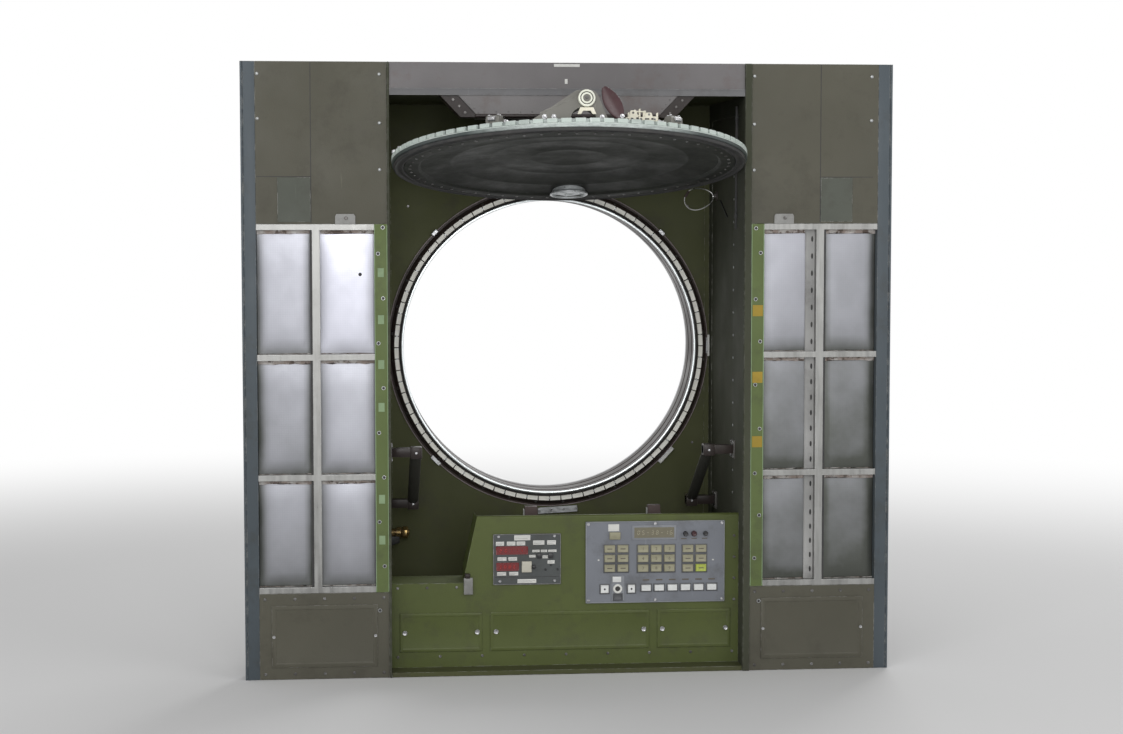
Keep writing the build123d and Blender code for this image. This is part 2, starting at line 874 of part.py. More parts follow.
def linkage():
    """Cream casting on the rim beside the lever, and the yoke under the wheel."""
    length = linkage_length
    height = linkage_height
    comb = outline_of([
        (0, 0),
        (length, 0),
        (length, height * 0.35),
        (length * 0.87, height * 0.35),
        (length * 0.82, height * 0.8),
        (length * 0.66, height * 0.8),
        (length * 0.6, height * 0.4),
        (length * 0.4, height * 0.4),
        (length * 0.34, height),
        (length * 0.16, height),
        (length * 0.1, height * 0.4),
        (0, height * 0.35),
    ])
    far_end = linkage_left + linkage_length
    outer_z = -math.sqrt((cover_radius - tooth_radial_depth) ** 2 - far_end**2)
    foot = Plane(origin=(linkage_left, rim_front_y, outer_z + linkage_depth), x_dir=(1, 0, 0), z_dir=(0, 0, -1))
    casting = extrude(foot * comb, amount=linkage_depth)
    top = wheel_bracket_height - wheel_drop - wheel_radius - 1
    half = yoke_width / 2
    yoke = outline_of([
        (-half, top - yoke_height),
        (-half * 0.6, top - yoke_height),
        (-half * 0.4, top - yoke_height / 2),
        (half * 0.4, top - yoke_height / 2),
        (half * 0.6, top - yoke_height),
        (half, top - yoke_height),
        (half * 0.7, top),
        (-half * 0.7, top),
    ])
    face = Plane(origin=(0, rim_front_y, bracket_edge_z()), x_dir=(1, 0, 0), z_dir=(0, 0, -1))
    return Compound(children=[casting, extrude(face * yoke, amount=yoke_depth)])


def latch_guides():
    """Blocks on the rim that guide the latch rods, clear of the bracket and the castings."""
    half = latch_width / 2
    low = (rim_inner_radius, rim_front_y - latch_height, -half)
    high = (rim_inner_radius + latch_depth, rim_front_y, half)
    body = chamfer(block(low, high).edges().filter_by(Axis.Z).sort_by(Axis.Y)[:2], 6)
    return Compound(children=around_axis(body, rib_count))


def push_rods():
    """Eight-sided rods that run from the hub's flats to the latch guides."""
    y = rim_front_y - rod_height
    section = Plane.YZ.offset(hub_radius) * Pos(y, 0) * RegularPolygon(rod_radius, 8)
    rod = extrude(section, amount=rim_inner_radius - hub_radius)
    return Compound(children=around_axis(rod, rib_count))


def bracket_edge_z():
    """Closed height of the bracket's outer side, just inside the rim's teeth at its wide foot."""
    return -math.sqrt((cover_radius - tooth_radial_depth) ** 2 - wheel_bracket_left**2)


def wheel_bracket():
    """Lopsided bracket on the rim at the free edge, with an arch through its foot."""
    half_top = wheel_bracket_top / 2
    outline = outline_of([
        (-wheel_bracket_left, 0),
        (wheel_bracket_right, 0),
        (half_top, wheel_bracket_height),
        (-half_top, wheel_bracket_height),
    ])
    outline = fillet(outline.vertices().sort_by(Axis.Y)[-2:], half_top * 0.8)
    outline -= Pos(-wheel_bracket_arch / 4, 0) * Circle(wheel_bracket_arch)
    foot = Plane(origin=(0, rim_front_y, bracket_edge_z() + wheel_bracket_depth), x_dir=(1, 0, 0), z_dir=(0, 0, -1))
    return extrude(foot * outline, amount=wheel_bracket_depth)


def crank_wheel():
    """Small wheel on the free-edge side of the bracket."""
    y = rim_front_y - wheel_bracket_height + wheel_drop
    return Pos(0, y, bracket_edge_z() - wheel_thickness / 2) * Cylinder(wheel_radius, wheel_thickness)


def lever_handle():
    """Leaf-shaped lever that leans from the rim beside the bracket."""
    tip = (0, lever_length)
    arc_out = ThreePointArc((0, 0), (lever_width / 2, lever_length * 0.55), tip)
    arc_back = ThreePointArc(tip, (-lever_width / 2, lever_length * 0.55), (0, 0))
    leaf = make_face([arc_out, arc_back])
    z = -math.sqrt((cover_radius - rim_width / 2) ** 2 - lever_offset**2)
    blade_plane = Plane(origin=(lever_offset, rim_front_y + 4, z), x_dir=(1, 0, 0), z_dir=(0, 0, -1))
    blade = extrude(blade_plane * Rot(0, 0, lever_lean) * leaf, amount=lever_thickness)
    return blade - ring(rim_inner_radius - 30, cover_radius + 1, rim_back_y, rim_thickness)


def equalising_valve():
    """Round valve cap on the far side of the pan, near the hinge, with a raised lip."""
    centre = Pos(valve_offset, valve_from_axis)
    cap_y = rim_back_y + valve_height
    cap = toward_cabin(centre * Circle(valve_radius), cap_y, dish_rise + dish_sheet)
    cap -= toward_cabin(centre * Circle(valve_radius - valve_lip), cap_y, valve_lip / 2)
    return cap - before_pan()


def pieces():
    """Every piece under its own name."""
    cover = {
        "cover_dish": cover_dish(),
        "cover_rim": cover_rim(),
        "cover_teeth": cover_teeth(),
        "cover_seal": cover_seal(),
        "cover_ribs": cover_ribs(),
        "drive_hub": drive_hub(),
        "latch_guides": latch_guides(),
        "push_rods": push_rods(),
        "hinge_arms": hinge_arms(),
        "wheel_bracket": wheel_bracket(),
        "crank_wheel": crank_wheel(),
        "lever_handle": lever_handle(),
        "equalising_valve": equalising_valve(),
        "linkage": linkage(),
    }
    found = {name: swung_open(shape) for name, shape in cover.items()}
    found.update({
        "hatch_frame": hatch_frame(),
        "rear_flange": rear_flange(),
        "inner_lip": inner_lip(),
        "frame_seal": frame_seal(),
        "seat_ring": seat_ring(),
        "clamp_plates": clamp_plates(),
        "frame_webs": frame_webs(),
        "back_wall": back_wall(),
        "niche_floor": niche_floor(),
        "niche_ceiling": niche_ceiling(),
        "rear_crossbars": rear_crossbars(),
        "rear_uprights": rear_uprights(),
        "bay_braces": bay_braces(),
        "corner_mouldings": corner_mouldings(),
        "top_fascia": top_fascia(),
        "hood": hood(),
        "hood_end_plates": hood_end_plates(),
        "console_body": console_body(),
        "console_clips": console_clips(),
        "display_panel": Compound(children=on_console(display_panel_rows, display_panel_thickness)),
        "display_windows": Compound(children=on_console(display_window_rows, 2.0, display_panel_thickness)),
        "keypad_panel": Compound(children=on_console(keypad_panel_rows, keypad_panel_thickness)),
        "keypad_window": Compound(children=on_console(keypad_window_rows, 2.0, keypad_panel_thickness)),
        "keypad_keys": keypad_keys(),
        "keypad_knobs": keypad_knobs(),
        "keypad_switches": Compound(children=on_console(switch_rows, 6.0, keypad_panel_thickness, 8)),
        "hinge_brackets": hinge_brackets(),
        "hinge_pins": hinge_pins(),
    })
    found.update({
        "right_cheek": cheek(right_cheek_thickness),
        "left_cheek": mirrored(cheek(left_cheek_thickness)),
        "right_rail_brackets": right_rail_brackets(),
        "left_rail_brackets": mirrored(right_rail_brackets()),
        "right_handrail": right_handrail(),
        "left_handrail": mirrored(right_handrail()),
    })
    for name, shape in {
        "bay_frame": right_bay_frame(),
        "bay_panels": right_bay_panels(),
        "upper_panel": right_upper_panel(),
        "lower_panel": right_lower_panel(),
        "edge_strip": right_edge_strip(),
        "outer_post": right_outer_post(),
    }.items():
        found["right_" + name] = shape
        found["left_" + name] = on_left(shape)
    return found


os.makedirs("parts", exist_ok=True)
for node, shape in pieces().items():
    export_step(shape, f"parts/{node}.step")
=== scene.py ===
import json
import math
import random

import bpy
from mathutils import Matrix, Vector


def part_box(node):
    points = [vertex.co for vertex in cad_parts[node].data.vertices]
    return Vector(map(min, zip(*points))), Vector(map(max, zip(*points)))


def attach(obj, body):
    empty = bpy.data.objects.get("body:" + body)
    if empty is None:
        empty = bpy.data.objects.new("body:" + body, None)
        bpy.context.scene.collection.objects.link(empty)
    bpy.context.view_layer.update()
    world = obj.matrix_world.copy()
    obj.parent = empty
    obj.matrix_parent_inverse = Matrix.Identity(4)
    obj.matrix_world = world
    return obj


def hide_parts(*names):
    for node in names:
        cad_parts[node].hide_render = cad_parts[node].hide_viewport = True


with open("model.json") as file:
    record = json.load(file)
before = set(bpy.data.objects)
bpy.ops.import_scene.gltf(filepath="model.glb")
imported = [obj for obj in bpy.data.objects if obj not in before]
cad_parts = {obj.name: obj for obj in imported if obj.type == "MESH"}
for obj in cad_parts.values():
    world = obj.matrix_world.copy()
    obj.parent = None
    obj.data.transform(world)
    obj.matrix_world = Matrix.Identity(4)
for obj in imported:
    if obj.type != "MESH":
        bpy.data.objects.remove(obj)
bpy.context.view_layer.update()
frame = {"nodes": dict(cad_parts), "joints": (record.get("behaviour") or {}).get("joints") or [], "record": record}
nodes = frame["nodes"]
random.seed(7)

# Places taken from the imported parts, in metres
wall_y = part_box("back_wall")[0].y
front_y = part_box("right_cheek")[0].y
floor_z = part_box("niche_floor")[0].z
top_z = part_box("right_cheek")[1].z
niche_half = -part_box("back_wall")[0].x
cheek_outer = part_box("right_cheek")[1].x
frame_back_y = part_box("right_bay_frame")[1].y
outer_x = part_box("right_outer_post")[1].x
console_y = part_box("console_body")[0].y
console_front_z = -0.40062
left_cheek_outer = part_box("left_cheek")[0].x
left_outer_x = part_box("left_outer_post")[0].x
hinge = Vector((0, *frame["joints"][0]["pos_m"][1:]))
open_turn = math.radians(frame["joints"][0]["range_deg"][1])
swing_open = Matrix.Translation(hinge) @ Matrix.Rotation(-open_turn, 4, "X") @ Matrix.Translation(-hinge)

# Places on the closed cover, and of the wire handle on the cheek
wheel_y = -0.233
bracket_face_z = -0.4164
casting_face_z = -0.4021
lever_box_middle = Vector((0.082, -0.1835, -0.418))
valve_middle = Vector((0.032, 0, 0.345))
wire_place = Matrix.Translation((0.3985, -0.247, 0.405)) @ Matrix.Rotation(math.radians(-10), 4, "Y")

# Counts, and small lengths in metres: how far thin plates sink in, and how far the console's panels stand out
side_names = {1: "right", -1: "left"}
tooth_count = 84
fine_steps = 192
thin_overlap = 0.0002
display_lift = 0.003
keypad_lift = 0.004
weld_gap = 0.00001
smooth_angle = math.radians(32)

# Keeper plates: angle, length and radius of the middle
keepers = (
    (0, 0.044, 0.4415), (45, 0.018, 0.442), (90, 0.018, 0.442), (135, 0.018, 0.442), (180, 0.018, 0.4415),
    (225, 0.032, 0.442), (273, 0.11, 0.4535), (317, 0.056, 0.446),
)


# Shader nodes
def fill(tree, node, inputs):
    """Sets a node's inputs, each to a value, a colour or another node's output, and gives the node's outputs."""
    for key, value in inputs.items():
        socket = node.inputs[key]
        if isinstance(value, bpy.types.NodeSocket):
            tree.links.new(value, socket)
        elif socket.type == "RGBA":
            socket.default_value = (*value, 1)
        else:
            socket.default_value = value
    return node.outputs


def add(tree, kind, inputs=None, **settings):
    """New shader node with its settings and inputs; gives its outputs."""
    node = tree.nodes.new("ShaderNode" + kind)
    for name, value in settings.items():
        setattr(node, name, value)
    return fill(tree, node, inputs or {})


# Camera, floor and light
def set_up_camera():
    """Stands where the photograph was taken from and turns to the bulkhead."""
    data = bpy.data.cameras.new("camera")
    data.lens = 72
    data.sensor_width = 36
    camera = bpy.data.objects.new("camera", data)
    camera.location = (-0.556, -6.285, 0.381)
    camera.rotation_euler = (math.radians(85.9412), math.radians(0.0173), math.radians(-5.49))
    bpy.context.scene.collection.objects.link(camera)
    bpy.context.scene.camera = camera


def set_up_lamps():
    """Four large soft lamps: place, the point each faces, width and power."""
    lamps = (
        ("key_lamp", (-2.6, -5.6, 3.2), (0, -0.3, 0.0), 2.6, 55),
        ("front_lamp", (-0.3, -6.6, 1.2), (0, -0.3, 0.0), 2.4, 95),
        ("fill_lamp", (3.8, -4.6, 1.2), (0, -0.3, 0.0), 3.0, 40),
        ("rear_lamp", (2.5, 4.5, 3.5), (0, 0.0, 0.0), 3.0, 150),
    )
    for name, place, target, width, power in lamps:
        data = bpy.data.lights.new(name, "AREA")
        data.size = width
        data.energy = power
        lamp = bpy.data.objects.new(name, data)
        lamp.location = place
        lamp.rotation_euler = (Vector(target) - Vector(place)).to_track_quat("-Z", "Y").to_euler()
        bpy.context.scene.collection.objects.link(lamp)


def set_up_world():
    """Even pale light for the object, and plain white for what is seen or mirrored behind it."""
    world = bpy.data.worlds.new("studio")
    world.use_nodes = True
    bpy.context.scene.world = world
    tree = world.node_tree
    tree.nodes.clear()
    ray = add(tree, "LightPath")
    seen = product(tree, ray["Is Camera Ray"], ray["Is Glossy Ray"], "MAXIMUM")
    seen_or_mirrored = product(tree, seen, ray["Is Transmission Ray"], "MAXIMUM")
    soft = add(tree, "Background", {"Color": (1, 1, 1), "Strength": 0.4})[0]
    white = add(tree, "Background", {"Color": (1, 1, 1), "Strength": 1.0})[0]
    add(tree, "OutputWorld", {0: add(tree, "MixShader", {0: seen_or_mirrored, 1: soft, 2: white})[0]})


def lay_floor():
    """Plain pale floor that fades to white away from the object."""
    bpy.ops.object.select_all(action="DESELECT")
    bpy.ops.mesh.primitive_circle_add(vertices=64, radius=30, fill_type="NGON", location=(0, 0, floor_z - 0.0005))
    floor = bpy.context.object
    floor.name = "studio_floor"
    pale = bpy.data.materials.new("floor_pale")
    pale.use_nodes = True
    tree = pale.node_tree
    tree.nodes.clear()
    far = add(tree, "VectorMath", {0: add(tree, "TexCoord")["Object"]}, operation="LENGTH")["Value"]
    reach = {"Value": far, "From Min": 1.8, "From Max": 5.0}
    fade = add(tree, "MapRange", reach, interpolation_type="SMOOTHSTEP")[0]
    near = add(tree, "BsdfDiffuse", {"Color": (0.8, 0.8, 0.8)})[0]
    white = add(tree, "Emission", {"Color": (1, 1, 1)})[0]
    add(tree, "OutputMaterial", {0: add(tree, "MixShader", {0: fade, 1: near, 2: white})[0]})
    floor.data.materials.append(pale)


# Steps that the finishes share
def begin(name, rough, metal=0.0):
    """New material with its node tree and shader."""
    finish = bpy.data.materials.new(name)
    finish.use_nodes = True
    tree = finish.node_tree
    shader = tree.nodes["Principled BSDF"]
    fill(tree, shader, {"Roughness": rough, "Metallic": metal})
    return finish, tree, shader


def place_on(tree, stretch=(1, 1, 1)):
    """The object's own coordinates, stretched."""
    return add(tree, "Mapping", {"Vector": add(tree, "TexCoord")["Object"], "Scale": stretch})[0]


def noise(tree, scale, detail=4.0, rough=0.55, stretch=(1, 1, 1)):
    """Cloudy value between 0 and 1."""
    cloud = {"Vector": place_on(tree, stretch), "Scale": scale, "Detail": detail, "Roughness": rough}
    return add(tree, "TexNoise", cloud)[0]


def between(tree, value, low, high, bottom=0.0, top=1.0):
    """Value remapped so that low gives bottom and high gives top."""
    ends = {"Value": value, "From Min": low, "From Max": high, "To Min": bottom, "To Max": top}
    return add(tree, "MapRange", ends)[0]


def product(tree, first, second, kind="MULTIPLY"):
    """Two values worked together."""
    return add(tree, "Math", {0: first, 1: second}, operation=kind)[0]


def mixed(tree, amount, first, second):
    """Two colours mixed by an amount."""
    return add(tree, "Mix", {0: amount, 6: first, 7: second}, data_type="RGBA")[2]


def raise_surface(tree, shader, height, depth, strength=1.0):
    """Bump on top of whatever bump the shader has already."""
    bump = {"Distance": depth, "Strength": strength, "Height": height}
    if shader.inputs["Normal"].is_linked:
        bump["Normal"] = shader.inputs["Normal"].links[0].from_socket
    fill(tree, shader, {"Normal": add(tree, "Bump", bump)[0]})


def edges_of(tree, width):
    """1 along the piece's edges and 0 on its faces, broken up where paint has held."""
    soft = add(tree, "Bevel", {"Radius": width}, samples=4)[0]
    sharp = add(tree, "NewGeometry")["Normal"]
    turn = add(tree, "VectorMath", {0: soft, 1: sharp}, operation="DOT_PRODUCT")["Value"]
    return product(tree, between(tree, turn, 0.995, 0.9), between(tree, noise(tree, 45, 6, 0.7), 0.46, 0.6))


def shaded(colour, factor):
    return tuple(min(1.0, part * factor) for part in colour)


# Finishes
def paint(name, colour, rough=0.48, tone=2.5, shade=0.72, grime=(0.05, 0.045, 0.035), grime_amount=0.5,
          worn=(0.42, 0.42, 0.4), wear=0.7):
    """Sprayed paint with clouded tone, hand marks, fine scratches, worn edges and a slight orange peel."""
    finish, tree, shader = begin(name, rough)
    clouds = between(tree, noise(tree, tone, 5), 0.32, 0.68)
    colour_now = mixed(tree, clouds, shaded(colour, 1.08), shaded(colour, shade))
    marks = product(tree, between(tree, noise(tree, 11, 9, 0.68), 0.52, 0.74), grime_amount)
    colour_now = mixed(tree, marks, colour_now, grime)
    scratch = between(tree, noise(tree, 90, 3, 0.6, (1.0, 1.0, 0.06)), 0.69, 0.74)
    scratch = product(tree, scratch, between(tree, noise(tree, 5, 3), 0.5, 0.62))
    colour_now = mixed(tree, product(tree, scratch, 0.35), colour_now, shaded(colour, 1.9))
    if wear:
        edge = product(tree, edges_of(tree, 0.0022), wear)
        colour_now = mixed(tree, edge, colour_now, worn)
    gloss = between(tree, noise(tree, 7, 6, 0.6), 0.3, 0.7, rough - 0.09, rough + 0.12)
    fill(tree, shader, {"Base Color": colour_now, "Roughness": gloss, "Specular IOR Level": 0.22})
    raise_surface(tree, shader, noise(tree, 420, 3), 0.00025)
    raise_surface(tree, shader, noise(tree, 16, 3), 0.0006, 0.35)
    return finish


def machined(name, colour, rough=0.34, stretch=(1, 1, 40), scale=12.0, stain_amount=0.35, metal=0.9):
    """Bare metal with cutter or grinding lines along the stretched axis, dull stains and bright edges."""
    finish, tree, shader = begin(name, rough, metal)
    lines = noise(tree, scale, 6, 0.6, stretch)
    colour_now = mixed(tree, between(tree, lines, 0.35, 0.65), shaded(colour, 0.86), shaded(colour, 1.1))
    dull = product(tree, between(tree, noise(tree, 9, 8, 0.65), 0.52, 0.74), stain_amount)
    colour_now = mixed(tree, dull, colour_now, (0.1, 0.09, 0.08))
    colour_now = mixed(tree, product(tree, edges_of(tree, 0.0018), 0.5), colour_now, (0.82, 0.83, 0.84))
    gloss = between(tree, lines, 0.3, 0.7, rough - 0.07, rough + 0.12)
    fill(tree, shader, {"Base Color": colour_now, "Roughness": gloss})
    raise_surface(tree, shader, lines, 0.0002, 0.5)
    return finish


def woven_sheet(name, colour):
    """Thin aluminium sheet with a faint weave, soft smudges, and painted shade towards its edges and low in each
    window.
    """
    finish, tree, shader = begin(name, 0.4, 0.8)
    waves = [
        add(tree, "TexWave", {"Vector": place_on(tree), "Scale": 55.0, "Distortion": 0.8, "Detail": 2.0},
            bands_direction=direction)["Fac"]
        for direction in ("X", "Z")
    ]
    weave = product(tree, *waves, "ADD")
    soft = noise(tree, 5, 4, 0.5, (1.6, 1, 0.8))
    colour_now = mixed(tree, between(tree, soft, 0.3, 0.7), shaded(colour, 0.88), shaded(colour, 1.1))
    colour_now = mixed(tree, between(tree, weave, 0.4, 1.6, 0.0, 0.07), colour_now, shaded(colour, 0.5))
    # Painted shade, read from the sheets' point attribute, mixes the sheet towards a dark grey
    grime = add(tree, "Attribute", attribute_name="painted_shade")["Fac"]
    ragged_shade = product(tree, grime, between(tree, noise(tree, 14, 3), 0.3, 0.7, 0.94, 1.06))
    colour_now = mixed(tree, ragged_shade, colour_now, (0.085, 0.09, 0.08))
    rough = between(tree, noise(tree, 8, 6, 0.7), 0.3, 0.7, 0.36, 0.5)
    fill(tree, shader, {"Base Color": colour_now, "Roughness": rough})
    raise_surface(tree, shader, weave, 0.00025, 0.15)
    raise_surface(tree, shader, noise(tree, 6, 2), 0.003, 0.25)
    return finish


def rim_with_painted_highlight(name, colour, highlight_colour):
    """Dark paint on the cover's rim, with a painted highlight of pale metal colour on the middle of the near side."""
    finish, tree, shader = begin(name, 0.42)
    apart = add(tree, "SeparateXYZ", {0: place_on(tree)})
    sideways = product(tree, apart["X"], 0.0, "SUBTRACT")
    off_middle = product(tree, sideways, sideways)
    # Painted highlight: strongest near the middle in X and on the near side in Y, broken by noise
    highlight = product(tree, between(tree, off_middle, 0.075, 0.015), between(tree, apart["Y"], -0.75, -0.95))
    highlight = product(tree, highlight, between(tree, noise(tree, 45, 6, 0.7, (1, 1, 3)), 0.25, 0.6, 0.35, 1.0))
    colour_now = mixed(tree, between(tree, noise(tree, 12, 6), 0.3, 0.7), shaded(colour, 0.8), shaded(colour, 1.3))
    colour_now = mixed(tree, highlight, colour_now, highlight_colour)
    fill(tree, shader, {"Base Color": colour_now})
    raise_surface(tree, shader, noise(tree, 300, 3), 0.0002)
    return finish


def caulked(name):
    """Ragged sealant: beige, with white and brown patches."""
    finish, tree, shader = begin(name, 0.62)
    colour_now = mixed(tree, between(tree, noise(tree, 40, 5, 0.6), 0.4, 0.62), (0.3, 0.245, 0.215), (0.52, 0.5, 0.48))
    brown = between(tree, noise(tree, 55, 6, 0.65), 0.52, 0.6)
    colour_now = mixed(tree, brown, colour_now, (0.105, 0.075, 0.06))
    fill(tree, shader, {"Base Color": colour_now})
    raise_surface(tree, shader, noise(tree, 120, 5), 0.0012)
    return finish


def smudged_cover(name, colour):
    """Matt dark paint on the pan, rubbed in rings round its middle and smudged by hands."""
    finish, tree, shader = begin(name, 0.62)
    clouds = between(tree, noise(tree, 4, 7, 0.65), 0.34, 0.66)
    colour_now = mixed(tree, clouds, shaded(colour, 1.25), shaded(colour, 0.7))
    rubbed = between(tree, noise(tree, 10, 9, 0.75, (1, 3, 3)), 0.5, 0.7, 0.0, 0.6)
    colour_now = mixed(tree, rubbed, colour_now, (0.046, 0.048, 0.042))
    dark = between(tree, noise(tree, 6.5, 8, 0.7), 0.55, 0.7, 0.0, 0.8)
    colour_now = mixed(tree, dark, colour_now, (0.012, 0.013, 0.012))
    colour_now = mixed(tree, product(tree, edges_of(tree, 0.002), 0.6), colour_now, (0.25, 0.26, 0.24))
    gloss = between(tree, noise(tree, 9, 7, 0.7), 0.3, 0.7, 0.45, 0.75)
    fill(tree, shader, {"Base Color": colour_now, "Roughness": gloss, "Specular IOR Level": 0.2})
    raise_surface(tree, shader, noise(tree, 260, 4), 0.0003)
    raise_surface(tree, shader, noise(tree, 7, 3), 0.003, 0.4)
    return finish


def moulded(name, colour, rough=0.42, speck=0.15):
    """Moulded plastic with a fine grain, faint flow marks and handled edges."""
    finish, tree, shader = begin(name, rough)
    flow = between(tree, noise(tree, 25, 4, 0.5, (1, 1, 3)), 0.3, 0.7)
    colour_now = mixed(tree, flow, shaded(colour, 0.9), shaded(colour, 1.08))
    dirt = between(tree, noise(tree, 60, 6, 0.7), 0.55, 0.72, 0.0, speck)
    colour_now = mixed(tree, dirt, colour_now, (0.08, 0.07, 0.055))
    colour_now = mixed(tree, product(tree, edges_of(tree, 0.0008), 0.3), colour_now, shaded(colour, 1.5))
    gloss = between(tree, noise(tree, 40, 4), 0.3, 0.7, rough - 0.06, rough + 0.1)
    fill(tree, shader, {"Base Color": colour_now, "Roughness": gloss})
    raise_surface(tree, shader, noise(tree, 1500, 2), 0.00008)
    return finish


def rubber(name, colour):
    """Black rubber with a dusty bloom and a fine moulded grain."""
    finish, tree, shader = begin(name, 0.68)
    bloom = between(tree, noise(tree, 30, 7, 0.7), 0.42, 0.72)
    dusted = mixed(tree, bloom, colour, (0.06, 0.058, 0.054))
    fill(tree, shader, {"Base Color": dusted, "Roughness": between(tree, bloom, 0, 1, 0.55, 0.85)})
    raise_surface(tree, shader, noise(tree, 900, 3), 0.0001)
    return finish


def tinted_window(name, colour, glow=None, dusty=0.25):
    """Dark glossy display window with a faint glow and dust."""
    finish, tree, shader = begin(name, 0.16)
    dust = between(tree, noise(tree, 80, 6, 0.7), 0.5, 0.75, 0.0, dusty)
    dusted = mixed(tree, dust, colour, (0.25, 0.24, 0.22))
    gloss = between(tree, noise(tree, 50, 5), 0.3, 0.7, 0.1, 0.26)
    fill(tree, shader, {"Base Color": dusted, "Roughness": gloss, "Coat Weight": 0.5})
    if glow:
        fill(tree, shader, {"Emission Color": glow, "Emission Strength": 0.25})
    return finish


def glowing(name, colour, strength):
    """Lit face with a slightly uneven glow."""
    finish, tree, shader = begin(name, 0.4)
    uneven = mixed(tree, between(tree, noise(tree, 200, 2), 0.3, 0.7), shaded(colour, 0.85), shaded(colour, 1.1))
    fill(tree, shader, {"Base Color": uneven, "Emission Color": uneven, "Emission Strength": strength})
    return finish


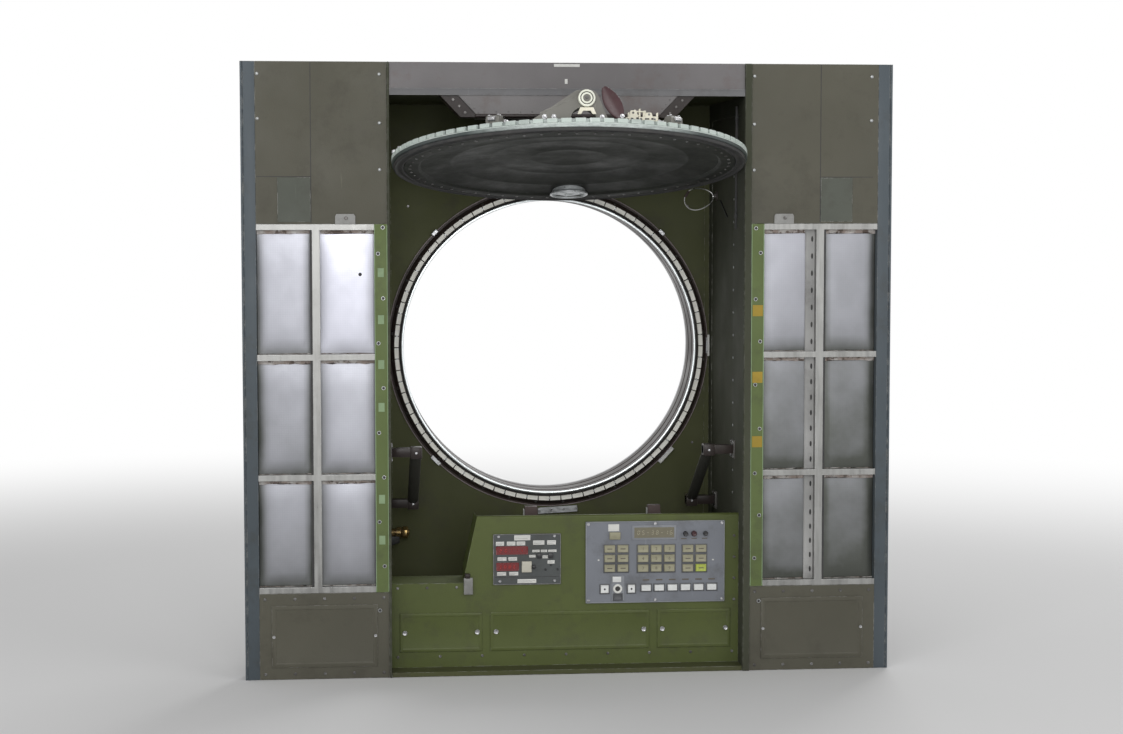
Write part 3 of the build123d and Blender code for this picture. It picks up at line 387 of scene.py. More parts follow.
def make_finishes():
    """Every finish under its plain name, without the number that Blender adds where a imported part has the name."""
    made = (
        paint("wall_green", (0.074, 0.08, 0.034), 0.62, 1.6, 0.82),
        paint("cheek_green", (0.058, 0.062, 0.042), 0.82, 1.8, 0.85),
        paint("console_green", (0.09, 0.11, 0.034), 0.42, 3.0, 0.85),
        paint("strip_green", (0.11, 0.146, 0.05), 0.44, 4.0, 0.85),
        paint("khaki_grey", (0.094, 0.09, 0.068), 0.5, 2.0, 0.86),
        paint("hood_grey", (0.165, 0.156, 0.158), 0.42, 2.0, 0.86, grime=(0.12, 0.075, 0.06)),
        paint("frame_brown", (0.044, 0.031, 0.028), 0.36, 5.0, 0.75, worn=(0.3, 0.26, 0.23)),
        paint("seat_cream", (0.95, 0.93, 0.86), 0.36, 6.0, 0.94, grime_amount=0.15, wear=0.2),
        smudged_cover("cover_dark", (0.0225, 0.0245, 0.0205)),
        paint("rim_pale", (0.54, 0.61, 0.57), 0.4, 6.0, 0.85, worn=(0.8, 0.82, 0.8), grime_amount=0.4),
        paint("gear_grey", (0.2, 0.195, 0.175), 0.42, 5.0, 0.8),
        paint("rail_dark", (0.034, 0.026, 0.024), 0.34, 6.0, 0.8, worn=(0.22, 0.2, 0.18), wear=0.5),
        paint("rail_green", (0.066, 0.066, 0.058), 0.46, 6.0, 0.85, worn=(0.25, 0.24, 0.22)),
        paint("panel_dark", (0.085, 0.092, 0.092), 0.44, 8.0, 0.85, wear=0.4),
        paint("panel_blue", (0.2, 0.212, 0.238), 0.4, 5.0, 0.9, wear=0.5),
        paint("linkage_cream", (0.78, 0.75, 0.62), 0.38, 12.0, 0.9, grime_amount=0.25, wear=0.4),
        machined("lip_grey", (0.74, 0.78, 0.79), 0.3, (1, 40, 1), 10.0, stain_amount=0.15),
        machined("frame_silver", (0.29, 0.29, 0.28), 0.34, (12, 12, 1), 8.0, metal=0.75),
        machined("bare_metal", (0.42, 0.43, 0.44), 0.36, (14, 1, 14), 8.0),
        machined("steel", (0.4, 0.4, 0.41), 0.26, (1, 14, 14), 20.0),
        machined("valve_pale", (0.66, 0.69, 0.7), 0.34, (1, 1, 1), 40.0, stain_amount=0.2, metal=0.6),
        woven_sheet("bay_silver", (0.52, 0.525, 0.59)),
        rubber("seal_black", (0.014, 0.014, 0.015)),
        moulded("wheel_white", (0.78, 0.79, 0.68), 0.34, speck=0.06),
        moulded("lever_maroon", (0.04, 0.009, 0.012), 0.34),
        moulded("key_beige", (0.31, 0.295, 0.2), 0.45),
        moulded("switch_white", (0.74, 0.75, 0.74), 0.34),
        moulded("knob_black", (0.022, 0.022, 0.024), 0.4),
        tinted_window("window_red", (0.05, 0.004, 0.005), (0.34, 0.012, 0.012), 0.06),
        tinted_window("window_pale", (0.155, 0.14, 0.088)),
        # Lighter copy of the hood grey, for the hood alone: painted light
        paint("hood_grey_painted_light", (0.205, 0.196, 0.196), 0.42, 2.0, 0.86, grime=(0.12, 0.075, 0.06)),
        paint("foot_mauve", (0.3, 0.25, 0.255), 0.4, 6.0, 0.85, wear=0.4),
        # Dark rim paint and the pale colour of its painted highlight
        rim_with_painted_highlight("rim_dark", (0.04, 0.052, 0.05), (0.5, 0.55, 0.53)),
        caulked("sealant"),
        paint("channel_grey", (0.4, 0.398, 0.39), 0.5, 7.0, 0.75),
        paint("plate_green", (0.085, 0.092, 0.076), 0.48, 4.0, 0.88),
        paint("post_blue", (0.076, 0.092, 0.104), 0.42, 3.0, 0.92),
        paint("tab_grey", (0.29, 0.29, 0.28), 0.45, 9.0, 0.85),
        paint("seat_gap", (0.045, 0.038, 0.032), 0.6, 9.0, 0.8, wear=0),
        machined("dark_steel", (0.1, 0.095, 0.09), 0.36, (1, 9, 9), 30.0, metal=0.7),
        machined("dull_silver", (0.34, 0.35, 0.35), 0.4, (9, 9, 1), 20.0),
        paint("tape_pale", (0.24, 0.33, 0.19), 0.55, 9.0, 0.85, wear=0, grime_amount=0.4),
        paint("tape_yellow", (0.33, 0.23, 0.035), 0.55, 9.0, 0.85, wear=0, grime_amount=0.4),
        paint("cheek_light", (0.064, 0.068, 0.05), 0.82, 2.5, 0.9),
        paint("pad_mauve", (0.07, 0.05, 0.047), 0.6, 12.0, 0.85, wear=0.3),
        paint("trim_pale", (0.215, 0.218, 0.195), 0.44, 3.0, 0.85),
        paint("line_pale", (0.33, 0.33, 0.3), 0.44, 5.0, 0.85, wear=0),
        machined("brass", (0.52, 0.36, 0.14), 0.3, (9, 1, 9), 25.0),
        paint("trim_grey", (0.165, 0.165, 0.17), 0.42, 3.0, 0.82),
        paint("tag_white", (0.68, 0.68, 0.65), 0.45, 12.0, 0.9, wear=0, grime_amount=0.15),
        moulded("button_pale", (0.52, 0.5, 0.42), 0.4),
        moulded("key_shadow", (0.085, 0.088, 0.095), 0.5),
        paint("foot_light", (0.105, 0.1, 0.092), 0.42, 9.0, 0.8),
        moulded("line_grey", (0.3, 0.3, 0.29), 0.5, speck=0.05),
        machined("wire_bright", (0.62, 0.62, 0.6), 0.28, (1, 1, 1), 30.0),
        glowing("key_lit", (0.36, 0.42, 0.07), 0.1),
        glowing("digit_red", (0.8, 0.08, 0.06), 0.6),
        moulded("digit_dark", (0.46, 0.43, 0.31), 0.45),
        moulded("digit_brown", (0.1, 0.085, 0.065), 0.5),
        paint("bezel_blue", (0.25, 0.262, 0.285), 0.42, 5.0, 0.88, wear=0.4),
    )
    return {finish.name.split(".")[0]: finish for finish in made}


def finish_parts():
    """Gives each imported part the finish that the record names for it."""
    for part in frame["record"]["subparts"]:
        node = nodes[part["node"]]
        node.data.materials.clear()
        node.data.materials.append(finishes[part["material_slot"]])


# Steps that the pieces share
def deselect():
    """Leaves edit mode, with nothing selected."""
    if bpy.context.object is not None and bpy.context.object.mode != "OBJECT":
        bpy.ops.object.mode_set(mode="OBJECT")
    bpy.ops.object.select_all(action="DESELECT")


def work_on(piece):
    deselect()
    piece.select_set(True)
    bpy.context.view_layer.objects.active = piece


def settle(piece, name):
    """Puts the piece's place and turn into its mesh and names it."""
    work_on(piece)
    bpy.ops.object.transform_apply(location=True, rotation=True, scale=True)
    piece.name = name
    return piece


def block(name, start, end):
    """Block between two corners, the start of a squared piece."""
    deselect()
    start, end = Vector(start), Vector(end)
    size = [abs(length) for length in end - start]
    bpy.ops.mesh.primitive_cube_add(size=1, location=(start + end) / 2, scale=size)
    return settle(bpy.context.object, name)


def plug(name, radius, thickness, sides=24):
    """Round or many-sided start, its back on the X-Z plane and its face towards the cabin."""
    deselect()
    bpy.ops.mesh.primitive_cylinder_add(
        vertices=sides, radius=radius, depth=thickness, location=(0, -thickness / 2, 0), rotation=(math.pi / 2, 0, 0)
    )
    return settle(bpy.context.object, name)


def pick_faces(piece, wanted=(0, -1, 0)):
    """Edit mode with faces selected: by the way they look, by a test of their middle and normal, or all of them."""
    work_on(piece)
    bpy.ops.object.mode_set(mode="EDIT")
    bpy.ops.mesh.select_mode(type="FACE")
    bpy.ops.mesh.select_all(action="DESELECT")
    bpy.ops.object.mode_set(mode="OBJECT")
    for face in piece.data.polygons:
        if callable(wanted):
            face.select = wanted(face.center, face.normal)
        else:
            face.select = not wanted or face.normal.dot(Vector(wanted)) > 0.9
    bpy.ops.object.mode_set(mode="EDIT")


def pull_out(shift):
    """Extrudes the picked faces."""
    bpy.ops.mesh.extrude_region_move(TRANSFORM_OT_translate={"value": shift})


def close_up(piece):
    """Merges what meets and turns every face outwards."""
    work_on(piece)
    bpy.ops.object.mode_set(mode="EDIT")
    bpy.ops.mesh.select_all(action="SELECT")
    bpy.ops.mesh.remove_doubles(threshold=weld_gap)
    bpy.ops.mesh.normals_make_consistent(inside=False)
    bpy.ops.object.mode_set(mode="OBJECT")
    return piece


def stepped(piece, edge, shift, wanted=(0, -1, 0)):
    """Insets the picked faces, moves them by the shift and closes the piece."""
    pick_faces(piece, wanted)
    bpy.ops.mesh.inset(thickness=edge)
    bpy.ops.transform.translate(value=shift)
    return close_up(piece)


def drawn_out(piece, shift, size, wanted=(0, -1, 0)):
    """Extrudes the picked faces, scales them and closes the piece."""
    pick_faces(piece, wanted)
    pull_out(shift)
    bpy.ops.transform.resize(value=size)
    return close_up(piece)


def narrowed(piece, size, wanted=(0, -1, 0)):
    """Scales the picked faces and closes the piece."""
    pick_faces(piece, wanted)
    bpy.ops.transform.resize(value=size)
    return close_up(piece)


def round_off(piece, width, segments=2):
    """Rounds the piece's edges."""
    work_on(piece)
    rounding = piece.modifiers.new("rounding", "BEVEL")
    rounding.width = width
    rounding.segments = segments
    rounding.limit_method = "ANGLE"
    bpy.ops.object.modifier_apply(modifier=rounding.name)
    return piece


def sweep_steps(piece, corners):
    """Draws a run of corners by pulling a single point out from one to the next."""
    bpy.ops.object.mode_set(mode="EDIT")
    bpy.ops.mesh.select_mode(type="VERT")
    bpy.ops.mesh.select_all(action="SELECT")
    bpy.ops.mesh.merge(type="CENTER")
    for start, end in zip(corners, corners[1:]):
        bpy.ops.mesh.extrude_vertices_move(TRANSFORM_OT_translate={"value": end - start})
    bpy.ops.mesh.select_all(action="SELECT")
    return piece


def spun(name, section, steps=168):
    """Section drawn corner by corner and spun round the hatchway's axis: radius and Y of each corner."""
    deselect()
    corners = [Vector((radius, y, 0)) for radius, y in section]
    bpy.ops.mesh.primitive_plane_add(size=0.001, location=corners[0])
    piece = sweep_steps(bpy.context.object, corners)
    bpy.ops.mesh.spin(steps=steps, angle=math.tau, center=(0, 0, 0), axis=(0, 1, 0))
    return settle(close_up(piece), name)


def ring(name, section, steps=168):
    """Spun piece whose section closes on itself."""
    return spun(name, list(section) + [section[0]], steps)


def joined(name, parts):
    """Several parts made one piece."""
    deselect()
    for part in parts:
        part.select_set(True)
    bpy.context.view_layer.objects.active = parts[0]
    bpy.ops.object.join()
    bpy.context.object.name = name
    return bpy.context.object


def turned(degrees):
    """Turn round the hatchway's axis."""
    return Matrix.Rotation(math.radians(degrees), 4, "Y")


def facing(place, direction=(0, -1, 0), roll=0.0):
    """Place and turn of a fitting whose face looks along the direction."""
    turn = Vector((0, -1, 0)).rotation_difference(Vector(direction)).to_matrix().to_4x4()
    return Matrix.Translation(place) @ turn @ Matrix.Rotation(roll, 4, "Y")


def set_out(name, pattern, places):
    """A copy of the pattern at each place, each with its own mesh, joined; the pattern itself goes."""
    copies = []
    for place in places:
        one = bpy.data.objects.new(name, pattern.data.copy())
        bpy.context.scene.collection.objects.link(one)
        one.data.transform(place)
        copies.append(one)
    bpy.data.objects.remove(pattern)
    return joined(name, copies)


def moved(piece, place):
    """Carries a finished shape to its place, kept in the mesh."""
    piece.data.transform(place)
    return piece


def hand_over(piece, slot, body="bulkhead", stands_for=(), finish=None):
    """Smooths the piece, gives it its finish and says what it rides on and stands for."""
    work_on(piece)
    bpy.ops.object.shade_smooth_by_angle(angle=smooth_angle)
    piece.data.materials.clear()
    piece.data.materials.append(finishes[finish or slot])
    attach(piece, body)
    if stands_for:
        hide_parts(*stands_for)
    return piece


def on_cover(piece, slot, stands_for=(), finish=None):
    """Swings a piece of the closed cover open with it, then hands it over."""
    moved(piece, swing_open)
    return hand_over(piece, slot, "cover", stands_for, finish)


def soften(names, width):
    """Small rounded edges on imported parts, so that they catch the light."""
    for name in names:
        part = nodes[name]
        weld = part.modifiers.new("weld", "WELD")
        weld.merge_threshold = 0.00002
        rounding = part.modifiers.new("rounding", "BEVEL")
        rounding.width = width
        rounding.segments = 2
        rounding.limit_method = "ANGLE"
        rounding.angle_limit = math.radians(40)
        rounding.harden_normals = True


# Fittings that are copied to many places
def slotted_screw(radius, height, name="screw"):
    """Screw head with a bevelled rim and a slot across it."""
    head = plug(name, radius, height * 0.7, 14)
    pick_faces(head)
    pull_out((0, -height * 0.3, 0))
    bpy.ops.transform.resize(value=(0.8, 1, 0.8))
    for side in (-1, 1):
        pick_faces(head, lambda middle, normal: normal.y < -0.99)
        bpy.ops.mesh.bisect(plane_co=(side * radius * 0.14, 0, 0), plane_no=(1, 0, 0))
    pick_faces(head, lambda middle, normal: normal.y < -0.99 and abs(middle.x) < radius * 0.1)
    pull_out((0, height * 0.5, 0))
    return close_up(head)


def rivet_head(radius, height):
    """Domed rivet head."""
    head = plug("rivet", radius, height * 0.4, 10)
    for rise, size in ((0.38, 0.78), (0.22, 0.5)):
        drawn_out(head, (0, -height * rise, 0), (size, 1, size), lambda middle, normal: normal.y < -0.99)
    return head


def hex_bolt(radius, height, name="bolt"):
    """Six-sided bolt head with rounded corners on a washer."""
    washer = round_off(plug("washer", radius * 1.35, height * 0.22, 18), height * 0.06, 1)
    head = plug("bolt", radius, height, 6)
    pick_faces(head)
    pull_out((0, -height * 0.12, 0))
    bpy.ops.transform.resize(value=(0.84, 1, 0.84))
    bpy.ops.mesh.inset(thickness=radius * 0.25)
    bpy.ops.transform.translate(value=(0, height * 0.1, 0))
    return joined(name, [washer, close_up(head)])


def round_the_axis(radius, y, count, first=0.0, lean=0.0):
    """Places on a circle round the hatchway's axis; lean turns their faces outwards."""
    places = []
    for i in range(count):
        angle = math.radians(first) + math.tau * i / count
        out = Vector((math.cos(angle), 0, math.sin(angle)))
        look = out * math.sin(lean) - Vector((0, math.cos(lean), 0))
        places.append(facing(out * radius + Vector((0, y, 0)), look, random.uniform(-1.4, 1.4)))
    return places


def along(start, end, count, direction):
    """Evenly spaced places on a line, ends included."""
    start, end = Vector(start), Vector(end)
    return [facing(start.lerp(end, i / (count - 1)), direction, random.uniform(-1.5, 1.5)) for i in range(count)]


# Hatchway frame
def make_hatch_frame():
    """Frame ring with its tunnel, spun finely, with a cone outside the seat and grooves in the bore."""
    section = [
        (0.4, -0.016), (0.414, -0.016), (0.414, -0.13), (0.4355, -0.13), (0.4355, -0.1355), (0.4345, -0.1375),
        (0.4275, -0.149), (0.4262, -0.15), (0.4115, -0.15), (0.4115, -0.144), (0.4065, -0.144), (0.4065, -0.15),
        (0.4, -0.15), (0.4, -0.122), (0.4018, -0.12), (0.4018, -0.112), (0.4, -0.11), (0.4, -0.062),
        (0.4018, -0.06), (0.4018, -0.052), (0.4, -0.05),
    ]
    hand_over(ring("hatch_ring", section, fine_steps), "frame_brown", stands_for=("hatch_frame",))
    foot = [(0.4325, -0.13), (0.4406, -0.13), (0.4406, -0.133), (0.44, -0.1338), (0.4325, -0.1344)]
    hand_over(ring("ring_foot", foot, fine_steps), "frame_brown")
    line = [(0.4407, -0.13), (0.4432, -0.13), (0.4432, -0.132), (0.4424, -0.133), (0.4407, -0.1332)]
    hand_over(ring("ring_edge", line, fine_steps), "frame_brown", finish="foot_mauve")
    lip = [
        (0.4, -0.1502), (0.4, -0.1528), (0.4007, -0.1537), (0.4018, -0.154), (0.4047, -0.154), (0.4058, -0.1537),
        (0.4065, -0.1528), (0.4065, -0.1502),
    ]
    hand_over(ring("lip_ring", lip, fine_steps), "lip_grey", stands_for=("inner_lip",))
    bead = [
        (0.4068, -0.1441), (0.4112, -0.1441), (0.4112, -0.1492), (0.4106, -0.1506), (0.409, -0.1514), (0.4074, -0.1506),
        (0.4068, -0.1492),
    ]
    hand_over(ring("frame_seal_bead", bead, fine_steps), "seal_black", stands_for=("frame_seal",))
    base = [(0.4117, -0.15), (0.4259, -0.15), (0.4259, -0.1512), (0.4117, -0.1512)]
    hand_over(ring("seat_base", base, fine_steps), "seal_black", finish="seat_gap")


def make_seat_pads():
    """Cream seat pads, one between each pair of gaps, each held by a sunk pin."""
    middle = 0.41875
    half = math.pi * middle / tooth_count - 0.0013
    pad = block("seat_pad", (0.4133, -0.154, -half), (0.4248, -0.1511, half))
    pad = round_off(stepped(pad, 0.0009, (0, 0.0004, 0)), 0.0006, 1)
    pads = set_out("seat_pads", pad, [turned(360 * (i + 0.5) / tooth_count) for i in range(tooth_count)])
    hand_over(pads, "seat_cream", stands_for=("seat_ring",))
    places = round_the_axis(middle, -0.1528, tooth_count // 2, 360 / tooth_count)
    hand_over(set_out("seat_pins", slotted_screw(0.0026, 0.0012), places), "bare_metal")


def make_frame_screws():
    """Screws on the cone of the ring and on the keeper plates, and pale bars on two of the plates."""
    cone_slope = math.radians(57)
    places = round_the_axis(0.43115, -0.143, 36, 5, cone_slope)
    hand_over(set_out("cone_screws", slotted_screw(0.0042, 0.0016), places), "frame_brown", finish="dark_steel")
    places = []
    for angle, length, radius in keepers:
        turn = turned(-angle)
        count = 2 if length < 0.1 else 4
        for i in range(count):
            offset = (i / (count - 1) - 0.5) * (length - 0.01)
            places.append(turn @ facing((radius, wall_y - 0.008, offset), roll=i))
    hand_over(set_out("keeper_screws", slotted_screw(0.003, 0.0018), places), "steel")
    bars = []
    for angle, length, radius in ((0, 0.06, 0.444), (317, 0.054, 0.4475)):
        bar = block("keeper_bar", (radius - 0.0035, wall_y - 0.0105, -length / 2),
                    (radius + 0.0035, wall_y - 0.007, length / 2))
        bars.append(moved(narrowed(bar, (0.7, 1, 0.96)), turned(-angle)))
    hand_over(joined("keeper_bars", bars), "switch_white", finish="tag_white")


def make_rear_flange():
    """Flange with its bolt holes, a groove for the joint's gasket and the gasket in it."""
    section = [
        (0.4, -0.0012), (0.4012, 0.0), (0.422, 0.0), (0.422, -0.004), (0.43, -0.004), (0.43, 0.0),
        (0.4735, 0.0), (0.475, -0.0015), (0.475, -0.0145), (0.4735, -0.016), (0.4, -0.016),
    ]
    flange = ring("bolted_flange", section, fine_steps)
    places = [turned(-30 * i) @ Matrix.Translation((0.45, 0.02, 0)) for i in range(12)]
    drills = set_out("flange_drills", plug("flange_drill", 0.0055, 0.05, 32), places)
    work_on(flange)
    holes = flange.modifiers.new("holes", "BOOLEAN")
    holes.object = drills
    holes.operation = "DIFFERENCE"
    holes.solver = "EXACT"
    bpy.ops.object.modifier_apply(modifier=holes.name)
    bpy.data.objects.remove(drills)
    hand_over(flange, "bare_metal", stands_for=("rear_flange",))
    gasket = [
        (0.4223, -0.0039), (0.4297, -0.0039), (0.4297, -0.0012), (0.4285, -0.0002), (0.4235, -0.0002),
        (0.4223, -0.0012),
    ]
    hand_over(ring("flange_gasket", gasket, fine_steps), "seal_black")


# Hatch cover, each piece made closed and then swung open
def make_cover_pan():
    """Pressed pan with raised beads round its middle, spun finely."""
    section = [
        (0.0, -0.189), (0.07, -0.189), (0.186, -0.189), (0.19, -0.1902), (0.198, -0.1902), (0.202, -0.1889),
        (0.285, -0.1789), (0.2885, -0.1796), (0.2955, -0.1787), (0.2985, -0.1774), (0.3725, -0.169), (0.3782, -0.1636),
        (0.3792, -0.163), (0.4103, -0.163), (0.411, -0.1622), (0.411, -0.1578), (0.4103, -0.157), (0.3775, -0.157),
        (0.3755, -0.1575), (0.3702, -0.1628), (0.367, -0.1634), (0.302, -0.1711), (0.2985, -0.1704), (0.2915, -0.1712),
        (0.288, -0.1729), (0.205, -0.1818), (0.201, -0.1812), (0.193, -0.1818), (0.189, -0.183), (0.1, -0.183),
        (0.097, -0.182), (0.089, -0.182), (0.086, -0.183), (0.0, -0.183),
    ]
    on_cover(spun("cover_pan", section, fine_steps), "cover_dark", ("cover_dish",))


def make_cover_seal():
    """Moulded seal with two lips and a groove between them."""
    section = [
        (0.4122, -0.1629), (0.4368, -0.1629), (0.4368, -0.158), (0.4356, -0.1556), (0.4326, -0.1552), (0.43, -0.1568),
        (0.4272, -0.1582), (0.422, -0.1582), (0.419, -0.1568), (0.4164, -0.1552), (0.4134, -0.1556), (0.4122, -0.158),
    ]
    on_cover(ring("cover_seal_ring", section, fine_steps), "seal_black", ("cover_seal",))


def make_cover_screws():
    """Screws that clamp the pan's flange and the seal, and the heads on the toothed rim."""
    out = [facing(p.translation, (0, 1, 0), 0.3) for p in round_the_axis(0.396, -0.157, 60, 3)]
    on_cover(set_out("pan_screws", slotted_screw(0.0035, 0.0018), out), "cover_dark", finish="dark_steel")
    places = []
    for place in round_the_axis(0.425, -0.184, tooth_count // 2, 180 / tooth_count):
        x, z = place.translation.x, place.translation.z
        off_guide = (math.degrees(math.atan2(z, x)) + 30) % 60 - 30
        at_arm = z > 0 and 0.085 < abs(x) < 0.135
        at_bracket = z < -0.36 and -0.14 < x < 0.18
        if abs(off_guide) > 3.5 and not at_arm and not at_bracket:
            places.append(place)
    on_cover(set_out("rim_screws", slotted_screw(0.0034, 0.0016), places), "steel")


def make_gear_case():
    """Bolts and gasket line of the gear case, its foot with screws, and the boss with its bolt on top."""
    bolts = round_the_axis(0.053, -0.235, 12, 15)
    on_cover(set_out("case_bolts", hex_bolt(0.0042, 0.004), bolts), "steel")
    gasket = [(0.034, -0.194), (0.0665, -0.194), (0.0665, -0.1965), (0.034, -0.1965)]
    on_cover(moved(ring("case_gasket", gasket, 12), turned(15)), "seal_black")
    flange = [(0.03, -0.1889), (0.074, -0.1889), (0.074, -0.1925), (0.073, -0.1938), (0.03, -0.1938)]
    on_cover(ring("case_foot", flange, 48), "gear_grey")
    foot_bolts = round_the_axis(0.0705, -0.1936, 12, 15)
    on_cover(set_out("foot_screws", slotted_screw(0.0026, 0.002), foot_bolts), "steel")
    boss = spun("cap_boss", [(0.0, -0.2465), (0.014, -0.2465), (0.014, -0.2492), (0.011, -0.2505), (0.0, -0.2505)], 32)
    on_cover(boss, "gear_grey")
    on_cover(moved(hex_bolt(0.0065, 0.005, "cap_bolt"), Matrix.Translation((0, -0.25, 0))), "steel")


def make_cover_rim():
    """Dark rim, the pale line along it, and the blocks of its teeth with gaps between them."""
    rim = [
        (0.404, -0.1632), (0.4395, -0.1632), (0.4408, -0.1645), (0.4408, -0.1712), (0.44, -0.1722), (0.44, -0.1728),
        (0.434, -0.173), (0.434, -0.182), (0.4325, -0.1838), (0.406, -0.1838), (0.404, -0.1822),
    ]
    on_cover(ring("rim_band", rim, 168), "cover_dark", ("cover_rim",), "rim_dark")
    line = [(0.4392, -0.1706), (0.4412, -0.1706), (0.4412, -0.1726), (0.4392, -0.1726)]
    on_cover(ring("rim_line", line, 168), "rim_pale")
    half = math.pi * 0.441 / tooth_count - 0.0036
    tooth = block("rim_tooth", (0.4335, -0.1838, -half), (0.441, -0.1729, half))
    pick_faces(tooth, (1, 0, 0))
    bpy.ops.transform.resize(value=(1, 0.92, 0.92))
    stepped(tooth, 0.001, (0, -0.0002, 0))
    turns = [turned(360 * (i + 0.5) / tooth_count) for i in range(tooth_count)]
    on_cover(set_out("rim_teeth", round_off(tooth, 0.0005, 1), turns), "rim_pale", ("cover_teeth",))


def make_rib_flanges():
    """Foot strips along both sides of each rib, following the pan, with their rivets."""
    strips, places = [], []
    runs = ((0.075, -0.1892, 0.199, -0.1892), (0.206, -0.1886, 0.283, -0.1793), (0.301, -0.1772, 0.369, -0.1699))
    for radius_in, y_in, radius_out, y_out in runs:
        for side in (-1, 1):
            strip = block("rib_foot", (radius_in, -0.002, 0.004 * side if side > 0 else -0.019),
                          (radius_out, 0.0, 0.019 if side > 0 else -0.004))
            slope = (y_out - y_in) / (radius_out - radius_in)
            for corner in strip.data.vertices:
                corner.co.y += y_in + (corner.co.x - radius_in) * slope
            strips.append(strip)
        for side in (-1, 1):
            for step in range(3):
                radius = radius_in + (radius_out - radius_in) * (0.15 + 0.35 * step)
                y = y_in + (radius - radius_in) * (y_out - y_in) / (radius_out - radius_in)
                places.append(facing((radius, y - 0.002, side * 0.0125)))
    foot = round_off(joined("rib_foot", strips), 0.0006, 1)
    turns = [turned(30 + 60 * i) for i in range(6)]
    on_cover(set_out("rib_feet", foot, turns), "gear_grey")
    all_places = [turn @ place for turn in turns for place in places]
    on_cover(set_out("rib_rivets", rivet_head(0.0026, 0.0016), all_places), "gear_grey")


def make_rod_fittings():
    """Collars, fork ends and pins on the push rods, and the latch tongues at the rim."""
    section = [(0.0062, -0.008), (0.01, -0.008), (0.0105, -0.007), (0.0105, 0.007), (0.01, 0.008), (0.0062, 0.008)]
    along_x = Matrix.Rotation(math.radians(90), 4, "Z")
    collar = moved(ring("rod_collar", section, 24), along_x)
    turns = [turned(60 * i) for i in range(6)]
    places = [turn @ Matrix.Translation((radius, -0.196, 0)) for turn in turns for radius in (0.11, 0.235, 0.36)]
    on_cover(set_out("rod_collars", collar, places), "steel")
    shaft = spun("push_rod", [(0.0, -0.17), (0.006, -0.17), (0.0062, 0.17), (0.0, 0.17)], 20)
    moved(shaft, Matrix.Translation((0.2335, -0.196, 0)) @ along_x)
    on_cover(set_out("round_rods", shaft, turns), "steel", ("push_rods",))
    fork = block("rod_fork", (0.064, -0.205, -0.009), (0.092, -0.187, 0.009))
    pick_faces(fork, (1, 0, 0))
    bpy.ops.mesh.inset(thickness=0.002)
    pull_out((0.008, 0, 0))
    bpy.ops.transform.resize(value=(1, 0.8, 0.8))
    on_cover(set_out("rod_forks", round_off(close_up(fork), 0.0012), turns), "gear_grey")
    tongue = block("latch_tongue", (0.41, -0.1995, -0.0095), (0.436, -0.189, 0.0095))
    drawn_out(tongue, (0.0045, 0, 0), (1, 0.55, 0.8), (1, 0, 0))
    on_cover(set_out("latch_tongues", round_off(tongue, 0.0008), turns), "steel")
    places = [turn @ facing((0.419 + x, -0.204, z)) for turn in turns for x in (-0.0045, 0.0045)
              for z in (-0.012, 0.012)]
    on_cover(set_out("guide_bolts", hex_bolt(0.003, 0.0024), places), "steel")


def make_wheel():
    """Wheel with pale turned rings, a dark groove between them and a grey middle with its screw."""
    section = [
        (0.0, -0.0105), (0.0088, -0.0105), (0.0092, -0.0118), (0.0128, -0.0118), (0.0134, -0.0095), (0.015, -0.0095),
        (0.0156, -0.012), (0.0192, -0.0114), (0.02, -0.0096), (0.02, -0.0024), (0.0192, -0.0008), (0.0, -0.0008),
    ]
    turn = facing((0, wheel_y, bracket_face_z), (0, 0, -1))
    on_cover(moved(spun("hand_wheel", section, 64), turn), "wheel_white", ("crank_wheel",))
    groove = [(0.0135, -0.0096), (0.0149, -0.0096), (0.0149, -0.0104), (0.0135, -0.0104)]
    on_cover(moved(ring("wheel_groove", groove, 48), turn), "seal_black")
    middle = [(0.0, -0.0104), (0.0086, -0.0104), (0.0086, -0.0116), (0.0078, -0.0124), (0.0, -0.0124)]
    on_cover(moved(spun("wheel_middle", middle, 32), turn), "gear_grey")
    screw = slotted_screw(0.0034, 0.0022, "wheel_screw")
    on_cover(moved(screw, turn @ facing((0, -0.0123, 0), roll=0.6)), "steel", finish="dark_steel")


def make_bracket_fittings():
    """Boss behind the wheel, bolts through the bracket's feet and the raised edge round its face."""
    face = bracket_face_z
    plate = spun("wheel_boss", [(0.0, -0.004), (0.0225, -0.004), (0.024, -0.003), (0.024, 0.004), (0.0, 0.004)], 40)
    on_cover(moved(plate, facing((0, wheel_y, face + 0.0045), (0, 0, -1))), "gear_grey")
    places = [facing((x, -0.191, face), (0, 0, -1), x * 90) for x in (-0.098, -0.076, 0.036)]
    on_cover(set_out("bracket_bolts", hex_bolt(0.0042, 0.0034), places), "steel")
    rib = block("bracket_rib", (-0.108, -0.201, face - 0.0012), (-0.03, -0.1965, face + 0.0005))
    for corner in rib.data.vertices:
        corner.co.y -= (corner.co.x + 0.108) * 0.48
    on_cover(round_off(rib, 0.0008), "gear_grey")


